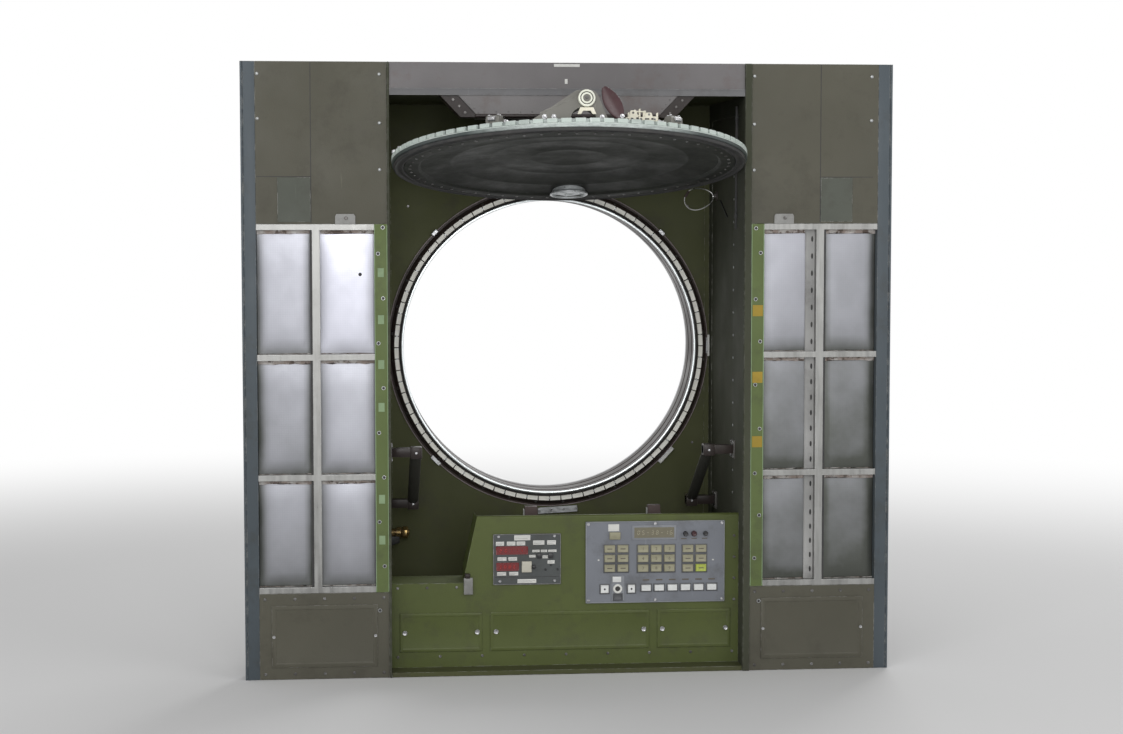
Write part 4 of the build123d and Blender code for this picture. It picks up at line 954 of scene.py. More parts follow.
def make_lever():
    """Leaf-shaped lever with a thick middle line and a rounded edge, drawn point by point."""
    length, half, thick = 0.088, 0.019, 0.0036
    rows = 14
    deselect()
    bpy.ops.mesh.primitive_grid_add(x_subdivisions=6, y_subdivisions=rows, size=1)
    leaf = bpy.context.object
    for corner in leaf.data.vertices:
        t = corner.co.y + 0.5
        width = half * (math.sin(math.pi * min(1.0, t * 0.92 + 0.04)) ** 0.75) + 0.0008
        across = corner.co.x * 2
        corner.co = (across * width, t * length, thick * (1 - abs(across) ** 1.6) * (0.5 + 0.5 * math.sin(math.pi * t)))
    work_on(leaf)
    bpy.ops.object.mode_set(mode="EDIT")
    bpy.ops.mesh.select_all(action="SELECT")
    pull_out((0, 0, -0.0045))
    round_off(close_up(leaf), 0.001)
    middle = lever_box_middle
    lean = Matrix.Rotation(math.radians(28), 4, "Z")
    stand = Matrix.Translation(middle) @ Matrix(((1, 0, 0, 0), (0, -1, 0, 0), (0, 0, -1, 0), (0, 0, 0, 1))) @ lean
    on_cover(moved(leaf, stand), "lever_maroon", ("lever_handle",))
    pivot = facing(middle + Vector((0, -0.008, -0.004)), (0, 0, -1))
    on_cover(moved(hex_bolt(0.004, 0.0034, "lever_bolt"), pivot), "steel")


def make_casting_fittings():
    """Small screws, pins, bridge pieces and dark gaps of the cream casting beside the lever."""
    face = casting_face_z
    places = [facing((x, y, face), (0, 0, -1), x * 50) for x, y in (
        (0.097, -0.1885), (0.128, -0.189), (0.16, -0.1885), (0.11, -0.204), (0.147, -0.2)
    )]
    on_cover(set_out("casting_screws", slotted_screw(0.0026, 0.0016), places), "steel", finish="dark_steel")
    posts = []
    for x, rise, wide in ((0.0975, 0.02, 0.0035), (0.111, 0.026, 0.005), (0.1235, 0.0285, 0.004), (0.133, 0.024, 0.007),
                          (0.146, 0.015, 0.0035), (0.164, 0.019, 0.0045)):
        post = block("casting_post", (x, -0.184 - rise, face + 0.003), (x + wide, -0.184, face + 0.0085))
        drawn_out(post, (0.0012, -0.0022, 0), (0.7, 1, 0.7))
        posts.append(post)
    for left, right, y in ((0.11, 0.14, -0.206), (0.1, 0.126, -0.196), (0.132, 0.167, -0.193)):
        posts.append(block("casting_bridge", (left, y - 0.0028, face + 0.001), (right, y, face + 0.006)))
    on_cover(round_off(joined("casting_posts", posts), 0.0005, 1), "linkage_cream")
    gaps = [block("casting_gap", (x, y - tall, face - 0.0006), (x + wide, y, face + 0.0008))
            for x, y, wide, tall in ((0.104, -0.188, 0.006, 0.004), (0.117, -0.188, 0.006, 0.005),
                                     (0.137, -0.188, 0.01, 0.003), (0.152, -0.1875, 0.005, 0.004))]
    on_cover(joined("casting_gaps", gaps), "seal_black")


def make_valve():
    """Shallow turned valve cap with a bright lip, a raised middle and three grip lugs; its neck ends inside the pan."""
    section = [
        (0.0, -0.158), (0.012, -0.158), (0.014, -0.1566), (0.03, -0.1566), (0.033, -0.1585), (0.043, -0.1585),
        (0.045, -0.154), (0.046, -0.1532), (0.049, -0.1532), (0.05, -0.1542), (0.05, -0.157), (0.044, -0.162),
        (0.043, -0.173), (0.0, -0.173),
    ]
    valve = spun("valve_cap", section, 72)
    for corner in valve.data.vertices:
        if corner.co.y < -0.1725:
            corner.co.y = -0.1685 + 0.12 * corner.co.z if corner.co.z < 0.018 else -0.1605
    lugs = [valve]
    for i in range(3):
        lug = round_off(block("valve_lug", (0.013, -0.158, -0.003), (0.029, -0.155, 0.003)), 0.0008)
        lugs.append(moved(lug, turned(120 * i + 20)))
    cap = joined("valve_cap", lugs)
    on_cover(moved(cap, Matrix.Translation(valve_middle)), "valve_pale", ("equalising_valve",))


def make_hinge_fittings():
    """Washers and nuts on the hinge pins, and bolts in the lugs' bases and the arms' feet."""
    arm_middles = (-0.11, 0.11)
    washer_section = [(0.0086, 0.0), (0.015, 0.0), (0.015, -0.002), (0.0144, -0.0026), (0.0086, -0.0026)]
    washer = ring("pin_washer", washer_section, 32)
    nut = plug("pin_nut", 0.0105, 0.005, 6)
    drawn_out(nut, (0, -0.0012, 0), (0.85, 1, 0.85))
    moved(nut, Matrix.Translation((0, -0.0024, 0)))
    pattern = joined("pin_end", [washer, round_off(nut, 0.0004, 1)])
    places = []
    for middle in arm_middles:
        for side in (-1, 1):
            places.append(facing((middle + side * 0.0281, hinge.y, hinge.z), (side, 0, 0), 0.4 * side))
    hand_over(set_out("pin_ends", pattern, places), "steel")
    places = [facing((middle, wall_y - 0.008, z), roll=z * 40) for middle in arm_middles for z in (0.453, 0.537)]
    hand_over(set_out("lug_bolts", hex_bolt(0.005, 0.0042), places), "steel")
    places = []
    for middle in arm_middles:
        for y, z in ((-0.1983, 0.394), (-0.2107, 0.412)):
            places.append(facing((middle, y, z), (0, -0.823, -0.568), z * 30))
    on_cover(set_out("arm_bolts", hex_bolt(0.0048, 0.004), places), "steel")


def make_pull_wire():
    """Stiff wire handle on the right cheek, below the open cover: loop, crimps and the clip that holds it."""
    deselect()
    bpy.ops.mesh.primitive_circle_add(vertices=48, radius=1.0)
    loop = bpy.context.object
    for corner in loop.data.vertices:
        turn = math.atan2(corner.co.y, corner.co.x)
        corner.co = (0.04 * corner.co.x, 0.004 * math.sin(2 * turn), 0.0285 * corner.co.y * (1 - 0.2 * corner.co.x))
    work_on(loop)
    bpy.ops.object.convert(target="CURVE")
    loop = bpy.context.object
    loop.data.bevel_depth = 0.0015
    loop.data.bevel_resolution = 3
    bpy.ops.object.convert(target="MESH")
    wire = settle(bpy.context.object, "pull_wire")
    crimp = [(0.0012, 0.0), (0.0032, 0.0), (0.0036, -0.0016), (0.0036, -0.0084), (0.0032, -0.01), (0.0012, -0.01)]
    sleeve = moved(ring("crimp", crimp, 16), Matrix.Translation((0.047, 0, 0)) @ Matrix.Rotation(-math.pi / 2, 4, "Z"))
    hand_over(moved(joined("pull_wire", [wire, sleeve]), wire_place), "steel", finish="wire_bright")
    grip = [(0.0012, 0.0), (0.003, 0.0), (0.0034, -0.002), (0.0034, -0.018), (0.003, -0.02), (0.0012, -0.02)]
    lay = wire_place @ facing((-0.038, -0.0036, 0.0104), (0.67, 0, 0.74))
    hand_over(moved(ring("wire_grip", grip, 16), lay), "rail_dark", finish="pad_mauve")
    eye = wire_place @ Vector((0.045, 0, 0))
    inner = niche_half + 0.002
    clip = block("wire_clip", (inner - 0.003, eye.y - 0.013, eye.z - 0.013), (inner, eye.y + 0.013, eye.z + 0.013))
    pick_faces(clip, (-1, 0, 0))
    bpy.ops.mesh.inset(thickness=0.007)
    pull_out((-0.005, 0, 0))
    hand_over(round_off(close_up(clip), 0.0009), "rail_dark")


# Aluminium bays
def bay_places(side):
    """Low and high corner of every bay window on one side, from the frame's own sizes."""
    frame_low, frame_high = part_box(side_names[side] + "_bay_frame")
    inner = frame_low.x if side > 0 else -frame_high.x
    columns = []
    for start in (inner + 0.03, inner + 0.187):
        columns.append((start, start + 0.137))
    levels = (0.333, 0.009, -0.292, -0.575)
    rows = [(low + 0.0075, high - 0.0075) for high, low in zip(levels, levels[1:])]
    return columns, rows


def sheet_painted_shade(x, z, columns, rows, side, window_shades):
    """How much painted shade a point of the sheets gets: most along the edges and low down in each window."""
    for column, (low_x, high_x) in enumerate(columns):
        for low_z, high_z in rows:
            if low_x - 0.006 <= side * x <= high_x + 0.006 and low_z - 0.006 <= z <= high_z + 0.006:
                across = (side * x - low_x) / (high_x - low_x)
                up = (z - low_z) / (high_z - low_z)
                # Painted shade: darker along the window's sides and bottom, by the window's own amount, and more
                # towards its bottom
                edge = max(0.0, 1 - min(across, 1 - across) / 0.2) ** 1.5 * (0.55 if column else 0.25)
                edge = max(edge, max(0.0, 1 - up / 0.1) * 0.35)
                tone = window_shades[column][rows.index((low_z, high_z))]
                return min(1.0, edge + tone + 0.16 * (0.5 - up))
    return 0.8


def make_bay_panels(side):
    """Pillowed sheets behind the windows, with sealant at their ends, and the slotted channels on the right."""
    name = side_names[side]
    columns, rows = bay_places(side)
    panels, channels, seals, slots, gaps = [], [], [], [], []
    front = frame_back_y
    for column, (low_x, high_x) in enumerate(columns):
        for low_z, high_z in rows:
            reach = 0.0055 if column == 0 else 0.0
            panel = block("bay_sheet", (low_x - 0.0055, front, low_z - 0.0055),
                          (high_x + reach, front + 0.0145, high_z + 0.0055))
            pick_faces(panel, (0, 1, 0))
            bpy.ops.mesh.inset(thickness=0.0022)
            pull_out((0, -0.0115, 0))
            pick_faces(panel)
            bpy.ops.mesh.subdivide(number_cuts=13)
            bpy.ops.object.mode_set(mode="OBJECT")
            for corner in panel.data.vertices:
                if abs(corner.co.y - front) < weld_gap:
                    across = min(1.0, abs(2 * (corner.co.x - low_x) / (high_x - low_x) - 1))
                    up = min(1.0, abs(2 * (corner.co.z - low_z) / (high_z - low_z) - 1))
                    corner.co.y -= 0.0045 * (1 - across ** 3) * (1 - up ** 5)
            panels.append(round_off(close_up(panel), 0.0011, 1))
            sheet_high = high_x
            if column == 1:
                # Black strip beside the mullion: a painted shadow on the sheet
                gaps.append(block("mullion_gap", (low_x - 0.0005, front - 0.023, low_z),
                                  (low_x + 0.005, front + thin_overlap, high_z)))
            elif side > 0:
                sheet_high = high_x - 0.024
                channel = block("bay_channel", (sheet_high, front - 0.006, low_z - 0.004),
                                (high_x + 0.004, front + 0.0005, high_z + 0.004))
                channels.append(round_off(stepped(channel, 0.003, (0, 0.003, 0)), 0.0006, 1))
                step = (high_z - low_z - 0.048) / 6
                lowest = Vector((high_x - 0.0065, front - 0.003, low_z + 0.024))
                slots += [Matrix.Translation(lowest + Vector((0, 0, step * i))) for i in range(7)]
            for high_end in (True, False):
                tall = 0.013 if high_end else 0.0045
                low_end = high_z + 0.003 - tall if high_end else low_z - 0.003
                seal = block("window_sealant", (low_x + 0.001, front - 0.0045, low_end),
                             (sheet_high - 0.001, front + thin_overlap, low_end + tall))
                pick_faces(seal)
                bpy.ops.mesh.subdivide(number_cuts=9)
                bpy.ops.object.mode_set(mode="OBJECT")
                free_edge = low_end if high_end else low_end + tall
                for corner in seal.data.vertices:
                    if abs(corner.co.z - free_edge) < 0.0001:
                        corner.co.z += random.uniform(-0.001, 0.003) * (1 if high_end else -1)
                    elif corner.co.y < front - 0.004:
                        corner.co.y += random.uniform(-0.0006, 0.0008)
                seals.append(seal)
    flip = Matrix.Diagonal((side, 1, 1, 1))
    sheet, seal, shadow_strip = (
        close_up(moved(joined(name + ending, parts), flip))
        for ending, parts in (("_bay_sheets", panels), ("_window_sealant", seals), ("_mullion_shadow_strips", gaps))
    )
    # Amount of painted shade in each window, inner column then outer, rows from the top: more low down and on the right
    window_shades = ((0.5, 0.8, 0.82), (0.6, 0.86, 0.88)) if side > 0 else ((0.0, 0.44, 0.5), (0.38, 0.54, 0.58))
    grime = sheet.data.attributes.new("painted_shade", "FLOAT", "POINT")
    for corner, value in zip(sheet.data.vertices, grime.data):
        value.value = sheet_painted_shade(corner.co.x, corner.co.z, columns, rows, side, window_shades)
    hand_over(sheet, "bay_silver", stands_for=(name + "_bay_panels",))
    hand_over(seal, "key_beige", finish="sealant")
    hand_over(shadow_strip, "seal_black")
    if channels:
        hand_over(joined("bay_channels", channels), "khaki_grey", finish="channel_grey")
        mark = moved(plug("channel_slot", 0.0026, 0.0008, 10), Matrix.Diagonal((1, 1, 2.8, 1)))
        hand_over(set_out("channel_slots", mark, slots), "seal_black")
    else:
        dot = moved(rivet_head(0.0045, 0.002), facing((-0.52, front - 0.0042, 0.215)))
        dot.name = "sheet_plug"
        hand_over(dot, "seal_black")


def make_outer_post(side):
    """Painted outer post with a shallow groove down its face."""
    name = side_names[side]
    low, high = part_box(name + "_outer_post")
    post = block(name + "_post", low, high)
    groove = high.x - 0.006 if side > 0 else low.x + 0.006
    for line in (groove - 0.0012, groove + 0.0012):
        pick_faces(post, ())
        bpy.ops.mesh.bisect(plane_co=(line, 0, 0), plane_no=(1, 0, 0))
    pick_faces(post, lambda middle, normal: normal.y < -0.9 and abs(middle.x - groove) < 0.001)
    pull_out((0, 0.003, 0))
    post = round_off(close_up(post), 0.0009)
    hand_over(post, "frame_silver", stands_for=(name + "_outer_post",), finish="post_blue")


def make_strip_fittings(side):
    """Rivets down the painted edge strip, pale lines along its edges and the tape patches on it."""
    name = side_names[side]
    low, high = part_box(name + "_edge_strip")
    middle, face = (low.x + high.x) / 2, low.y
    if side > 0:
        heights = (0.329, 0.267, 0.15, 0.043, -0.067, -0.179, -0.2925, -0.4, -0.51, -0.62)
    else:
        heights = (0.332, 0.267, 0.156, 0.044, -0.068, -0.18, -0.292, -0.404, -0.516, -0.628)
    spots = [(middle + (0.007 if i % 2 else -0.005) * side, z) for i, z in enumerate(heights)]
    rims = [facing((x, face, z)) for x, z in spots]
    hand_over(set_out(name + "_strip_washers", plug("strip_washer", 0.0048, 0.0009, 16), rims), "strip_green",
              finish="dull_silver")
    heads = [facing((x, face - 0.0008, z)) for x, z in spots]
    hand_over(set_out(name + "_strip_rivets", rivet_head(0.0036, 0.0016), heads), "seal_black")
    if side < 0:
        patches = [block("tape", (middle - 0.008, face - 0.0006, z - 0.011), (middle + 0.007, face, z + 0.011))
                   for z in (0.22, 0.103, -0.009, -0.116, -0.347, -0.45)]
        finish = "tape_pale"
    else:
        patches = [block("tape", (low.x + 0.004, face - 0.0006, z - 0.014), (high.x - 0.003, face, z + 0.014))
                   for z in (0.121, -0.048, -0.212)]
        finish = "tape_yellow"
    for patch in patches:
        stepped(patch, 0.0012, (0, -0.0002, 0))
    hand_over(joined(name + "_tape", patches), "key_beige", finish=finish)
    borders = [block("strip_border", (x - 0.0009, face - 0.0007, low.z + 0.002),
                     (x + 0.0009, face + thin_overlap, high.z - 0.002)) for x in (low.x + 0.0012, high.x - 0.0012)]
    hand_over(joined(name + "_strip_borders", borders), "strip_green", finish="tape_pale")


# Painted panels and cheeks
def make_painted_panels(side):
    """Seams, lap plate and rivets of the upper painted panel; door, screws and catches of the lower one."""
    name = side_names[side]
    low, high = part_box(f"{name}_upper_panel")
    seam_x = 0.64 * side
    seams = [
        block("panel_seam", (left, front_y - 0.0005, bottom), (right, front_y + 0.0004, top))
        for left, right, bottom, top in (
            (seam_x - 0.0008, seam_x + 0.0008, low.z + 0.002, high.z - 0.002), (seam_x, 0.775 * side, 0.457, 0.4584),
        )
    ]
    hand_over(joined(name + "_panel_seams", seams), "seal_black")
    plate = block(name + "_lap_plate", (0.641 * side, front_y - 0.0016, 0.3455),
                  (0.7225 * side, front_y + thin_overlap, 0.456))
    stepped(plate, 0.003, (0, 0.0004, 0))
    hand_over(round_off(plate, 0.0005, 1), "khaki_grey", finish="plate_green")
    spots = ((0.47, 0.59), (0.47, 0.475), (0.77, 0.71), (0.77, 0.6), (0.47, 0.71))
    rivets = [facing((side * x, front_y, z)) for x, z in spots]
    hand_over(set_out(name + "_panel_rivets", rivet_head(0.0042, 0.0022), rivets), "khaki_grey", finish="dull_silver")
    low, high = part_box(f"{name}_lower_panel")
    places = []
    inset = 0.014
    for i in range(5):
        x = low.x + inset + (high.x - low.x - 2 * inset) * i / 4
        places += [facing((x, front_y, z), roll=i) for z in (low.z + inset, high.z - inset)]
    hand_over(set_out(name + "_lower_screws", slotted_screw(0.0038, 0.002), places), "khaki_grey", finish="dark_steel")
    door = block(name + "_lower_door", (low.x + 0.03, front_y - 0.0022, low.z + 0.03),
                 (high.x - 0.03, front_y + thin_overlap, high.z - 0.03))
    pick_faces(door)
    bpy.ops.mesh.inset(thickness=0.01)
    bpy.ops.mesh.inset(thickness=0.0016)
    bpy.ops.transform.translate(value=(0, 0.0014, 0))
    hand_over(round_off(close_up(door), 0.0009), "khaki_grey")
    places = [facing((x, front_y - 0.0021, (low.z + high.z) / 2)) for x in (low.x + 0.0352, high.x - 0.0352)]
    catch = stepped(plug("catch", 0.0038, 0.0018, 20), 0.001, (0, 0.0008, 0))
    hand_over(set_out(name + "_lower_catches", catch, places), "steel")


def make_rail_tabs():
    """Small tab plates above the top rails, each with a screw."""
    for side, x in ((1, 0.5475), (-1, -0.556)):
        name = side_names[side]
        tab = block(name + "_rail_tab", (x - 0.025, front_y - 0.003, 0.34), (x + 0.025, front_y, 0.36))
        drawn_out(tab, (0, 0, 0.0055), (0.86, 1, 1), (0, 0, 1))
        hand_over(round_off(tab, 0.0008), "khaki_grey", finish="tab_grey")
        screw = slotted_screw(0.0046, 0.002, name + "_tab_screw")
        place = facing((x + 0.002, front_y - 0.003, 0.355), roll=0.5)
        hand_over(moved(screw, place), "steel", finish="dark_steel")


def make_cheek_fittings(side):
    """Seam plate and screws on the inner face of a cheek."""
    name = side_names[side]
    inner = side * (niche_half + 0.002)
    face = inner - side * 0.0022
    seam_y = front_y + 0.16
    lap = block(name + "_cheek_lap", (inner, front_y + 0.002, floor_z + 0.06), (face, seam_y, top_z - 0.2))
    pick_faces(lap, (-side, 0, 0))
    bpy.ops.mesh.inset(thickness=0.004)
    hand_over(round_off(close_up(lap), 0.0008), "cheek_green", finish="cheek_light")
    places = along((face, seam_y - 0.01, -0.36), (face, seam_y - 0.01, 0.52), 16, (-side, 0, 0))
    places += along((inner, wall_y - 0.012, -0.4), (inner, wall_y - 0.012, 0.56), 14, (-side, 0, 0))
    screws = set_out(name + "_cheek_screws", slotted_screw(0.0032, 0.0018), places)
    hand_over(screws, "cheek_green", finish="dull_silver")


def make_moulding_lines():
    """Painted face, dark joint and pale edge down the mouldings at the cheeks' front corners."""
    rows = (
        ("right_moulding_face", 0.4468, 0.457, 0.0016, "trim_pale"),
        ("right_moulding_joint", 0.457, 0.4592, 0.0008, "seat_gap"),
        ("right_moulding_edge", 0.4595, 0.4632, 0.0018, "line_pale"),
        ("left_moulding_face", -0.4516, -0.449, 0.0016, "line_pale"),
        ("left_moulding_joint", -0.449, -0.4466, 0.0008, "seat_gap"),
    )
    for name, left, right, proud, finish in rows:
        face = block(name, (left, front_y - proud, floor_z + 0.004), (right, front_y + thin_overlap, top_z - 0.004))
        hand_over(round_off(face, 0.0004, 1), "cheek_green", finish=finish)


def make_wall_fittings():
    """Angle strips where the wall meets the cheeks, screws of the wall, and conduit and strap on the right cheek."""
    for side in (-1, 1):
        x = side * niche_half
        angle = block(side_names[side] + "_wall_angle", (x, wall_y - 0.0022, -0.6), (x - side * 0.014, wall_y, 0.6))
        hand_over(round_off(stepped(angle, 0.003, (0, 0.0006, 0)), 0.0006), "wall_green")
    spots = ((-0.385, 0.385), (0.385, 0.385), (-0.4, -0.3), (0.4, -0.27), (-0.3, 0.44), (0.3, 0.44))
    places = [facing((x, wall_y, z), roll=x * 9) for x, z in spots]
    hand_over(set_out("wall_screws", slotted_screw(0.0036, 0.002), places), "wall_green", finish="dark_steel")
    inner = niche_half + 0.002
    conduit = block("cheek_conduit", (inner - 0.0075, -0.575, 0.326), (inner, -0.568, 0.64))
    pick_faces(conduit, (0, 0, -1))
    bpy.ops.transform.resize(value=(1, 0.6, 1))
    clamps = [block("conduit_clamp", (inner - 0.0087, -0.579, z - 0.006), (inner, -0.564, z + 0.006))
              for z in (0.36, 0.49, 0.61)]
    conduit = joined("cheek_conduit", [close_up(piece) for piece in (conduit, *clamps)])
    hand_over(round_off(conduit, 0.0008), "seal_black")
    strap = block("cheek_strap", (inner - 0.003, -0.425, 0.356), (inner, -0.411, 0.39))
    for corner in strap.data.vertices:
        if corner.co.z > 0.38:
            corner.co.y += 0.11
            corner.co.z += 0.01
    hand_over(round_off(close_up(strap), 0.0008), "seal_black")


def make_pipe_fitting():
    """Brass pipe union low on the left cheek: turned body, six-sided nut and cap, and the black block below it."""
    section = [
        (0.0, 0.0), (0.017, 0.0), (0.017, -0.004), (0.01, -0.006), (0.01, -0.016), (0.0135, -0.018), (0.0135, -0.026),
        (0.0095, -0.028), (0.0095, -0.038), (0.006, -0.041), (0.0, -0.041),
    ]
    body = spun("pipe_union", section, 40)
    nut = plug("union_nut", 0.0155, 0.009, 6)
    stepped(nut, 0.002, (0, -0.001, 0))
    moved(nut, Matrix.Translation((0, -0.0285, 0)))
    union = joined("pipe_union", [body, round_off(nut, 0.0006, 1)])
    stand = facing((-niche_half - 0.002, wall_y - 0.034, -0.506), (1, -0.12, 0)) @ Matrix.Diagonal((1.1, 1.5, 1.1, 1))
    hand_over(moved(union, stand), "steel", finish="brass")
    ear = block("union_plate", (-niche_half - 0.002, wall_y - 0.06, -0.538),
                (-niche_half + 0.012, wall_y - 0.01, -0.514))
    drawn_out(ear, (0.02, -0.004, 0.002), (1, 0.6, 0.7), (1, 0, 0))
    hand_over(round_off(ear, 0.0016), "seal_black")


# Hood and fascia
def make_hood_trim():
    """Trim angle along the ceiling's front edge, and the small blank plates on the fascia."""
    low_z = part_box("top_fascia")[0].z
    trim = block("ceiling_trim", (-niche_half, front_y - 0.003, low_z - 0.0135), (niche_half, front_y, low_z + 0.004))
    stepped(trim, 0.0022, (0, 0.0008, 0))
    hand_over(round_off(trim, 0.0006), "hood_grey", finish="trim_grey")
    plates = []
    for x, z, wide, tall in ((0.01, 0.061, 0.046, 0.0034), (-0.004, 0.0215, 0.005, 0.006)):
        plate = block("fascia_plate", (x - wide, front_y - 0.001, low_z + z - tall),
                      (x + wide * 0.4, front_y, low_z + z + tall))
        stepped(plate, 0.0008, (0, -0.0003, 0))
        plates.append(plate)
    hand_over(joined("fascia_plates", plates), "switch_white", finish="tag_white")


def make_hood_details():
    """Dark lower lip, stiffening channels and screws of the hood, and the screws of its end plates."""
    low_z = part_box("hood")[0].z
    lip = block("hood_lip", (-0.233, front_y - 0.003, low_z), (0.233, front_y + 0.02, low_z + 0.0085))
    stepped(lip, 0.002, (0, -0.0012, 0))
    hand_over(round_off(lip, 0.001), "rail_dark")
    channels = []
    for x in (-0.15, 0.0, 0.15):
        channel = block("hood_channel", (x - 0.012, front_y + 0.004, low_z + 0.003),
                        (x + 0.012, front_y + 0.172, low_z + 0.0075))
        stepped(channel, 0.004, (0, 0, 0.004), (0, 0, 1))
        channels.append(channel)
    hand_over(round_off(joined("hood_channels", channels), 0.0008, 1), "hood_grey")
    places = [facing((-0.21 + 0.42 * i / 14, front_y, low_z + 0.014)) for i in range(15)]
    screw_places = []
    for side in (-1, 1):
        for rise in (0.012, 0.023, 0.034, 0.045):
            places.append(facing((side * (0.213 + rise * 0.95), front_y, low_z + rise)))
        for rise in (0.012, 0.028, 0.044):
            spot = (side * (0.2455 + rise * 0.95), front_y + 0.006, low_z + rise)
            screw_places.append(facing(spot, roll=rise * 90))
    hand_over(set_out("hood_rivets", rivet_head(0.0021, 0.0011), places), "hood_grey")
    screws = set_out("end_plate_screws", slotted_screw(0.0036, 0.002), screw_places)
    hand_over(screws, "steel", finish="dark_steel")


# Console. Places on its front are given from left X and drop below the front's top edge.
def console_face(x, drop, lift=0.0):
    return Vector((x, console_y - lift, console_front_z - drop))


def console_plate(name, left, right, high, low, lift, thick, edge=0.0006):
    """Small plate on the console's front with a rounded edge."""
    plate = block(name, console_face(left, low, lift + thick), console_face(right, high, lift - thin_overlap))
    return stepped(plate, edge, (0, -edge * 0.5, 0))


def console_plates(name, rows, lift, thick, edge):
    """Plates of one thickness, joined: left, right, high and low of each."""
    return joined(name, [console_plate(name, *row, lift, thick, edge) for row in rows])


def make_display_panel():
    """Blank tags, windows' frames, push buttons, border and screws of the left display."""
    lift = display_lift
    rows = (
        (-0.134, -0.091, 0.05, 0.065), (-0.181, -0.158, 0.066, 0.078), (-0.153, -0.129, 0.066, 0.078),
        (-0.128, -0.104, 0.066, 0.078), (-0.086, -0.055, 0.064, 0.077), (-0.05, -0.0255, 0.064, 0.077),
        (-0.088, -0.067, 0.088, 0.096), (-0.066, -0.048, 0.088, 0.096), (-0.047, -0.024, 0.088, 0.096),
        (-0.096, -0.0775, 0.101, 0.1095), (-0.062, -0.044, 0.1025, 0.112), (-0.177, -0.152, 0.106, 0.117),
        (-0.149, -0.125, 0.106, 0.117), (-0.178, -0.153, 0.144, 0.155), (-0.147, -0.122, 0.144, 0.155),
        (-0.049, -0.029, 0.1155, 0.126), (-0.126, -0.076, 0.163, 0.175),
    )
    tags, lines = [], []
    for left, right, high, low in rows:
        tags.append((left + 0.001, right - 0.001, high + 0.001, low - 0.001))
        for step in (0.36, 0.64):
            drop = high + (low - high) * step
            short = random.uniform(0.1, 0.3) * (right - left)
            lines.append((left + 0.003, right - 0.003 - short * (step > 0.5), drop - 0.0005, drop + 0.0005))
    hand_over(console_plates("display_tags", tags, lift, 0.001, 0.0004), "switch_white", finish="tag_white")
    hand_over(console_plates("tag_lines", lines, lift + 0.0009, 0.0003, 0.0001), "knob_black", finish="line_grey")
    for number, (left, right, high, low) in enumerate(((-0.18, -0.098, 0.08, 0.1), (-0.179, -0.121, 0.1215, 0.141))):
        bezel = block(f"display_bezel_{number}", console_face(left, low, 0.0056), console_face(right, high, 0.0028))
        hand_over(stepped(bezel, 0.0022, (0, 0.0012, 0)), "window_red")
    button = console_plate("display_button", -0.114, -0.089, 0.118, 0.146, lift, 0.005, 0.0016)
    hand_over(round_off(button, 0.0007), "key_beige", finish="button_pale")
    keys = [console_plate("display_key", left, right, 0.098, 0.11, lift, 0.006, 0.0014)
            for left, right in ((-0.075, -0.063), (-0.047, -0.034))]
    knob = stepped(plug("display_knob", 0.0052, 0.009, 16), 0.0012, (0, -0.0012, 0))
    keys.append(moved(round_off(knob, 0.0005, 1), Matrix.Translation(console_face(-0.083, 0.132, lift))))
    for x, drop in ((-0.053, 0.14), (-0.039, 0.128), (-0.022, 0.14)):
        keys.append(moved(rivet_head(0.0028, 0.0026), Matrix.Translation(console_face(x, drop, lift))))
    hand_over(joined("display_switches", keys), "knob_black")
    spots = ((-0.173, 0.0545), (-0.03, 0.054), (-0.17, 0.169), (-0.03, 0.169))
    places = [facing(console_face(x, drop, lift), roll=x * 70) for x, drop in spots]
    hand_over(set_out("display_screws", slotted_screw(0.0036, 0.002), places), "steel")
    groove = console_plate("display_groove", -0.183, -0.018, 0.1575, 0.1588, lift, 0.0004, 0.0002)
    hand_over(groove, "knob_black")
    rims = ((-0.187, -0.014, 0.048, 0.0498), (-0.187, -0.014, 0.1762, 0.178), (-0.187, -0.1852, 0.048, 0.178),
            (-0.0158, -0.014, 0.048, 0.178))
    hand_over(console_plates("display_rims", rims, lift, 0.001, 0.0004), "panel_dark", finish="trim_grey")


def make_digits():
    """Seven-segment digits glowing in the red windows, and in the pale window of the keypad."""
    shapes = {"0": "abcdef", "1": "bc", "2": "abged", "3": "abgcd", "4": "fgbc", "5": "afgcd", "6": "afgedc",
              "7": "abc", "8": "abcdefg", "-": "g"}
    spots = {"a": (0, 1, 0), "g": (0, 0, 0), "d": (0, -1, 0), "f": (-0.5, 0.5, 1), "b": (0.5, 0.5, 1),
             "e": (-0.5, -0.5, 1), "c": (0.5, -0.5, 1)}
    rows = (
        ("red_digits", "20714", -0.168, 0.09, 0.0135, 0.0085, 0.0046, "window_red", "digit_red"),
        ("red_digits_low", "3086", -0.1685, 0.1313, 0.012, 0.0085, 0.0046, "window_red", "digit_red"),
        ("pale_digits", "05-38-16", 0.186, 0.0485, 0.012, 0.0105, 0.0064, "window_pale", "digit_dark"),
    )
    for name, digits, left, drop, pitch, tall, lift, slot, finish in rows:
        bars = []
        for i, digit in enumerate(digits):
            for letter in shapes[digit]:
                across, up, upright = spots[letter]
                wide, high = (0.1, 0.4) if upright else (0.4, 0.1)
                size = Matrix.Diagonal((tall * wide, 0.0004, tall * high, 1))
                x = left + pitch * i + across * tall * 0.5 + up * tall * 0.05
                place = Matrix.Translation(console_face(x, drop - up * tall * 0.46, lift))
                bars.append(moved(plug("segment", 0.5, 1.0, 6), place @ size))
        hand_over(joined(name, bars), slot, finish=finish)


